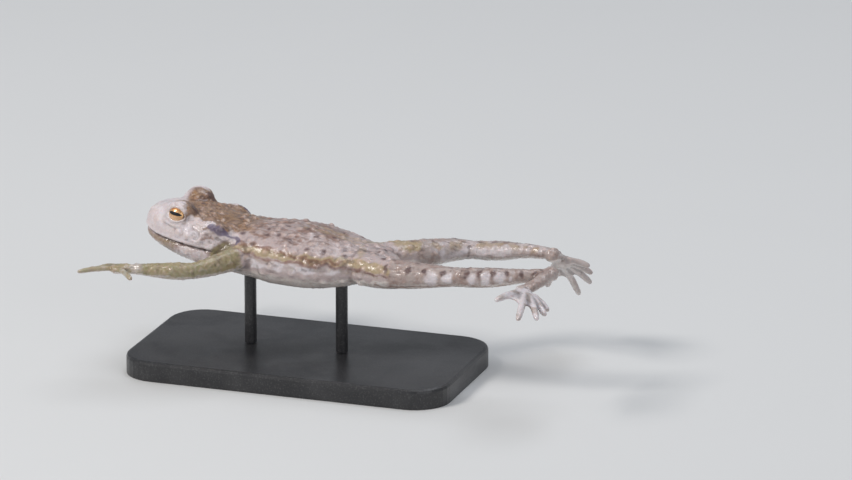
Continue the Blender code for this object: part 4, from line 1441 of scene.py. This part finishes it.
    def shape_eardrums(self, clay: Clay) -> None:
        """Sinks the two small eardrums inside a thin ring.

        Args:
            clay: the skin.
        """
        amount = np.zeros(len(clay.points))
        for side in Side:
            gap = away(clay.points, side.place(self.eardrum))
            amount += -0.13 * step(gap, 1.30, 0.90) + 0.08 * hump(gap - 1.42, 0.24)
        clay.push(amount)

    def shape_folds(self, clay: Clay) -> None:
        """Lays folds behind the glands, along the flanks, under the throat and at each joint.

        Args:
            clay: the skin.
        """
        p = clay.points
        amount = np.zeros(len(p))
        for line, depth, width in self.body_folds:
            for side in Side:
                gap, _ = along_line(p, side.line(line))
                amount -= depth * hump(gap, width)
        throat = step(np.abs(p[:, 1]), 9.0, 4.0) * step(self.lines.above_lip(p), -2.5, -4.0)
        for x in self.throat_folds:
            amount -= 0.16 * hump(p[:, 0] - x - 0.024 * p[:, 1] ** 2, 0.4) * throat
        for arm, leg in zip(self.lines.arms, self.lines.legs):
            for line, corner, spread in ((arm, 1, 0.62), (arm, 2, 0.45), (leg, 1, 0.85), (leg, 2, 0.55)):
                before = BoneGauge(p, line[corner], line[corner - 1])
                close = step(away(p, line[corner]), 4.6, 2.6)
                for k in (-1.4, -0.4, 0.7):
                    amount -= 0.11 * hump(before.along + k * spread * 1.6, 0.30) * close
        clay.push(amount)

    def shape_wrinkles(self, clay: Clay, masks: Masks) -> None:
        """Gives the flanks and limbs the low, soft wrinkles of loose wet skin.

        Args:
            clay: the skin.
            masks: the regions from limb_share.
        """
        p = clay.points
        heights = np.empty(len(p))
        for i, (x, y, z) in enumerate(p):
            bend = noise.noise((x * 0.16, y * 0.16, z * 0.16 + 7.0)) * 3.0
            ridge = noise.noise((x * 0.30 + bend, y * 0.75, z * 0.85))
            heights[i] = -abs(ridge) + 0.25 * noise.noise((x * 1.1, y * 1.1, z * 1.1))
        loose = 0.5 + 0.5 * np.maximum(masks["leg"], masks["arm"])
        loose *= 1.0 - 0.85 * np.maximum(masks["hand"], masks["foot"])
        loose *= 1.0 - 0.75 * step(p[:, 0], 24.0, 18.0) * (np.abs(p[:, 1]) < self.face_half_width)
        clay.push(heights * 0.26 * loose)

    def shape_warts(self, clay: Clay, masks: Masks) -> Array:
        """Raises the warts: scattered large ones, crowded small ones, and pits on the glands.

        Args:
            clay: the skin.
            masks: the regions from limb_share.

        Returns:
            How much each point belongs to a wart's top, from 0 to 1.
        """
        p, normals = clay.points, clay.normals()
        chance = np.random.default_rng(self.seed)
        rise = self.lines.above_lip(p)
        hand_foot = np.maximum(masks["hand"], masks["foot"])
        limb = np.maximum(masks["arm"], masks["leg"])
        trunk = 1.0 - np.maximum(limb, hand_foot)
        face = step(p[:, 0], 14.0, 10.0) * trunk
        top = step(rise, -1.0, 3.0) * trunk * (1.0 - face)
        upper_limb = limb * step(normals[:, 2], -0.5, 0.4)
        belly = step(rise, -1.0, -4.0) * trunk
        calm = 1.0 - 0.55 * step(p[:, 0], 26.0, 20.0)
        open_skin = step(self.eye_gap(p), 3.6, 4.6)
        open_skin *= np.where(p[:, 0] < 21.5, step(np.abs(rise), 0.5, 1.3), 1.0)

        raised, tops = np.zeros(len(p)), np.zeros(len(p))
        tree = kdtree.KDTree(len(p))
        for i, place in enumerate(p):
            tree.insert(place, i)
        tree.balance()

        def scatter(weight: Array, count: int, least: float, most: float, rise: float, apart: float) -> None:
            """Raises one size of wart at places drawn by weight, kept apart.

            Args:
                weight: how likely a wart is at each point.
                count: how many warts there are at most.
                least: the smallest radius.
                most: the largest radius.
                rise: the height of a wart for its radius.
                apart: the least distance between two.
            """
            share = np.maximum(weight, 0.0)
            drawn = chance.choice(len(p), size=count * 3, p=share / share.sum())
            kept: list[int] = []
            spots = np.empty((0, 3))
            for i in drawn:
                if len(kept) >= count:
                    break
                if len(spots) and np.min(np.sum((spots - p[i]) ** 2, axis=1)) < apart * apart:
                    continue
                kept.append(int(i))
                spots = np.vstack((spots, p[i]))
            for i in kept:
                radius = chance.uniform(least, most)
                stretch = chance.uniform(0.8, 1.2)
                height = rise * radius * chance.uniform(0.75, 1.2)
                for place, j, gap in tree.find_range(p[i], radius * 1.15):
                    if normals[j] @ normals[i] < 0.2:
                        continue
                    t = min(gap * (stretch if place[0] > p[i][0] else 1.0) / radius, 1.0)
                    dome = (1.0 - t * t) ** 1.5
                    raised[j] = max(raised[j], height * dome)
                    tops[j] = max(tops[j], dome * min(radius / 0.8, 1.0))

        scatter(top * open_skin * calm, 125, 0.75, 1.25, 0.30, 1.9)
        scatter((top * calm + 0.6 * upper_limb) * open_skin, 480, 0.42, 0.72, 0.26, 1.1)
        everywhere = top + upper_limb + 0.5 * belly + 0.12 * hand_foot + 0.30 * face
        scatter(everywhere * open_skin, 2500, 0.29, 0.45, 0.22, 0.65)
        clay.push(raised)

        pits = np.zeros(len(p))
        for side in Side:
            start, end = (np.array(v) for v in side.line(self.lines.gland))
            for _ in range(self.gland_pits):
                spot = start + (end - start) * chance.uniform(0.05, 0.95)
                spot = spot + np.array((0.0, side.value, 1.1)) * 1.4 + chance.normal(0.0, 0.85, 3)
                _, i, gap = tree.find(spot)
                if gap < 2.5:
                    pits = np.maximum(pits, hump(away(clay.points, clay.points[i]), 0.22))
        clay.push(-0.16 * pits)
        return np.clip(tops, 0.0, 1.0)

    def eye_gap(self, points: Array) -> Array:
        """The distance of each point from the nearer eye's centre."""
        return np.minimum(*(away(points, eye.middle) for eye in self.eyes))

    # ---- the whole piece ----

    def build(self, nodes: Solids, finish: bpy.types.Material) -> bpy.types.Object:
        """Makes and dresses the skin.

        Args:
            nodes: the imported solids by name.
            finish: the skin's material.

        Returns:
            The finished skin, in the frame's metres.
        """
        mesh = self.closed_solids(nodes)
        log.info("closed skin: %d faces", len(mesh.polygons))
        clay = Clay(mesh)
        masks = self.limb_share(clay.points)
        thin = np.maximum(masks["hand"], masks["foot"])
        clay.relax(8, 1.0 - 0.55 * thin)
        clay.push(np.full(len(clay.points), -self.swell))
        clay.relax(3, 1.0 - 0.5 * thin)
        clay.write()
        self.refine_face(mesh)
        clay = Clay(mesh)
        head = step(clay.points[:, 0], self.fine_reach + 1.0, self.fine_reach - 2.0)
        clay.relax(8, head * (np.abs(clay.points[:, 1]) < self.face_half_width))
        masks = self.limb_share(clay.points)
        self.shape_wrinkles(clay, masks)
        self.shape_folds(clay)
        tops = self.shape_warts(clay, masks)
        self.shape_lids(clay)
        self.shape_mouth(clay)
        self.shape_nostrils(clay)
        self.shape_eardrums(clay)
        clay.relax(1, 0.5 * step(self.eye_gap(clay.points), 8.0, 5.0) + 0.2)
        ToadMarkings(self.lines, self.eyes).paint(clay, masks, tops)
        clay.write()
        mesh.transform(self.space.to_frame())
        mesh.polygons.foreach_set("use_smooth", [True] * len(mesh.polygons))
        mesh.update()
        piece = add_piece("toad_skin", mesh, finish)
        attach(piece, "root")
        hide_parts(*self.flesh)
        log.info("%s: %d triangles", piece.name, sum(len(face.vertices) - 2 for face in mesh.polygons))
        return piece


# ---------------------------------------------------------------------------
# The stand and the studio
# ---------------------------------------------------------------------------


@dataclass
class DisplayStand:
    """The plate and two rods that hold the swimmer up, which keep their solids."""

    parts: tuple[str, ...] = ("stand_base", "stand_rod_front", "stand_rod_back")

    def dress(self, nodes: Solids, finish: bpy.types.Material) -> None:
        """Gives each solid of the stand its finish.

        Args:
            nodes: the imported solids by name.
            finish: the stand's material.
        """
        for name in self.parts:
            nodes[name].data.materials.clear()
            nodes[name].data.materials.append(finish)
            log.info("%s: dressed", name)


@dataclass
class Studio:
    """The floor, the lights and the camera, in metres but for the aim in the toad's millimetres."""

    space: ToadSpace
    azimuth: float = 19.0
    elevation: float = 17.0
    aim_right: float = 68.98
    aim_up: float = -5.96
    distance: float = 1.5
    view_width: float = 0.21141
    sensor: float = 36.0
    floor_size: float = 8.0
    lamp_aim: Point = (0.0, 0.0, 0.03)
    lamps: tuple[tuple[str, Point, float, float, Colour], ...] = (
        ("key lamp", (-0.62, -0.62, 0.85), 0.36, 8.4, (1.0, 0.97, 0.935)),
        ("sky lamp", (0.15, 0.35, 1.15), 0.80, 5.6, (0.90, 0.94, 1.0)),
        ("fill lamp", (0.85, -0.75, 0.40), 0.80, 1.6, (0.96, 0.97, 1.0)),
    )
    air: Colour = (0.86, 0.90, 0.96)
    air_strength: float = 0.35

    def build(self, floor_finish: bpy.types.Material) -> None:
        """Sets the studio up.

        Args:
            floor_finish: the floor's material.
        """
        self._floor(floor_finish)
        for lamp in self.lamps:
            self._lamp(*lamp)
        self._air()
        self._camera()
        log.info("studio: floor, %d lamps and camera", len(self.lamps))

    def _floor(self, finish: bpy.types.Material) -> None:
        """Lays the pale floor under the stand.

        Args:
            finish: the floor's material.
        """
        sheet = bmesh.new()
        bmesh.ops.create_grid(sheet, x_segments=2, y_segments=2, size=self.floor_size / 2)
        mesh = bpy.data.meshes.new("floor")
        sheet.to_mesh(mesh)
        sheet.free()
        piece = add_piece("floor", mesh, finish)

    def _lamp(self, name: str, place: Point, size: float, power: float, tint: Colour) -> None:
        """Hangs one soft round lamp that faces the toad.

        Args:
            name: the lamp's name.
            place: where it hangs.
            size: its width.
            power: its power in watts.
            tint: its colour.
        """
        light = bpy.data.lights.new(name, "AREA")
        light.shape = "DISK"
        light.size = size
        light.energy = power
        light.color = tint
        lamp = bpy.data.objects.new(name, light)
        lamp.location = place
        lamp.rotation_euler = (Vector(self.lamp_aim) - Vector(place)).to_track_quat("-Z", "Y").to_euler()
        bpy.context.scene.collection.objects.link(lamp)

    def _air(self) -> None:
        """Fills the studio with a faint, cool light."""
        world = bpy.data.worlds.new("studio air")
        world.use_nodes = True
        ground = world.node_tree.nodes["Background"]
        ground.inputs["Color"].default_value = (*self.air, 1.0)
        ground.inputs["Strength"].default_value = self.air_strength
        bpy.context.scene.world = world
        bpy.context.scene.view_settings.view_transform = "Standard"

    def _camera(self) -> None:
        """Sets the camera at the photograph's angle and framing."""
        turn, tilt = math.radians(self.azimuth), math.radians(self.elevation)
        sight = Vector((-math.sin(turn) * math.cos(tilt), math.cos(turn) * math.cos(tilt), -math.sin(tilt)))
        right = Vector((math.cos(turn), math.sin(turn), 0.0))
        up = right.cross(sight)
        snout = self.space.to_frame() @ Vector((0.0, 0.0, 0.0))
        aim = snout + right * self.aim_right * 0.001 + up * self.aim_up * 0.001
        data = bpy.data.cameras.new("camera")
        data.sensor_width = self.sensor
        data.sensor_fit = "HORIZONTAL"
        data.lens = self.sensor * self.distance / self.view_width
        data.clip_end = 50.0
        camera = bpy.data.objects.new("camera", data)
        camera.location = aim - sight * self.distance
        camera.rotation_euler = sight.to_track_quat("-Z", "Y").to_euler()
        bpy.context.scene.collection.objects.link(camera)
        bpy.context.scene.camera = camera


def main() -> None:
    """Builds the eyes, the skin, the stand and the studio in order."""
    logging.basicConfig(level=logging.INFO, format="%(message)s")
    eyes = (EyePlace(Side.LEFT), EyePlace(Side.RIGHT))
    space = ToadSpace.from_eyes((eyes[0].centre[0], 0.0, eyes[0].centre[2]))
    shared = SharedEffects()
    nodes = frame["nodes"]
    eye_finish = CopperEye().material(shared)
    for eye in eyes:
        ToadEye(eye, space).build(eye_finish)
    ToadSkin(space, eyes).build(nodes, MoistSkin().material(shared))
    DisplayStand().dress(nodes, SatinBlack().material(shared))
    Studio(space).build(PaleFloor().material(shared))


if __name__ == "__main__":
    main()
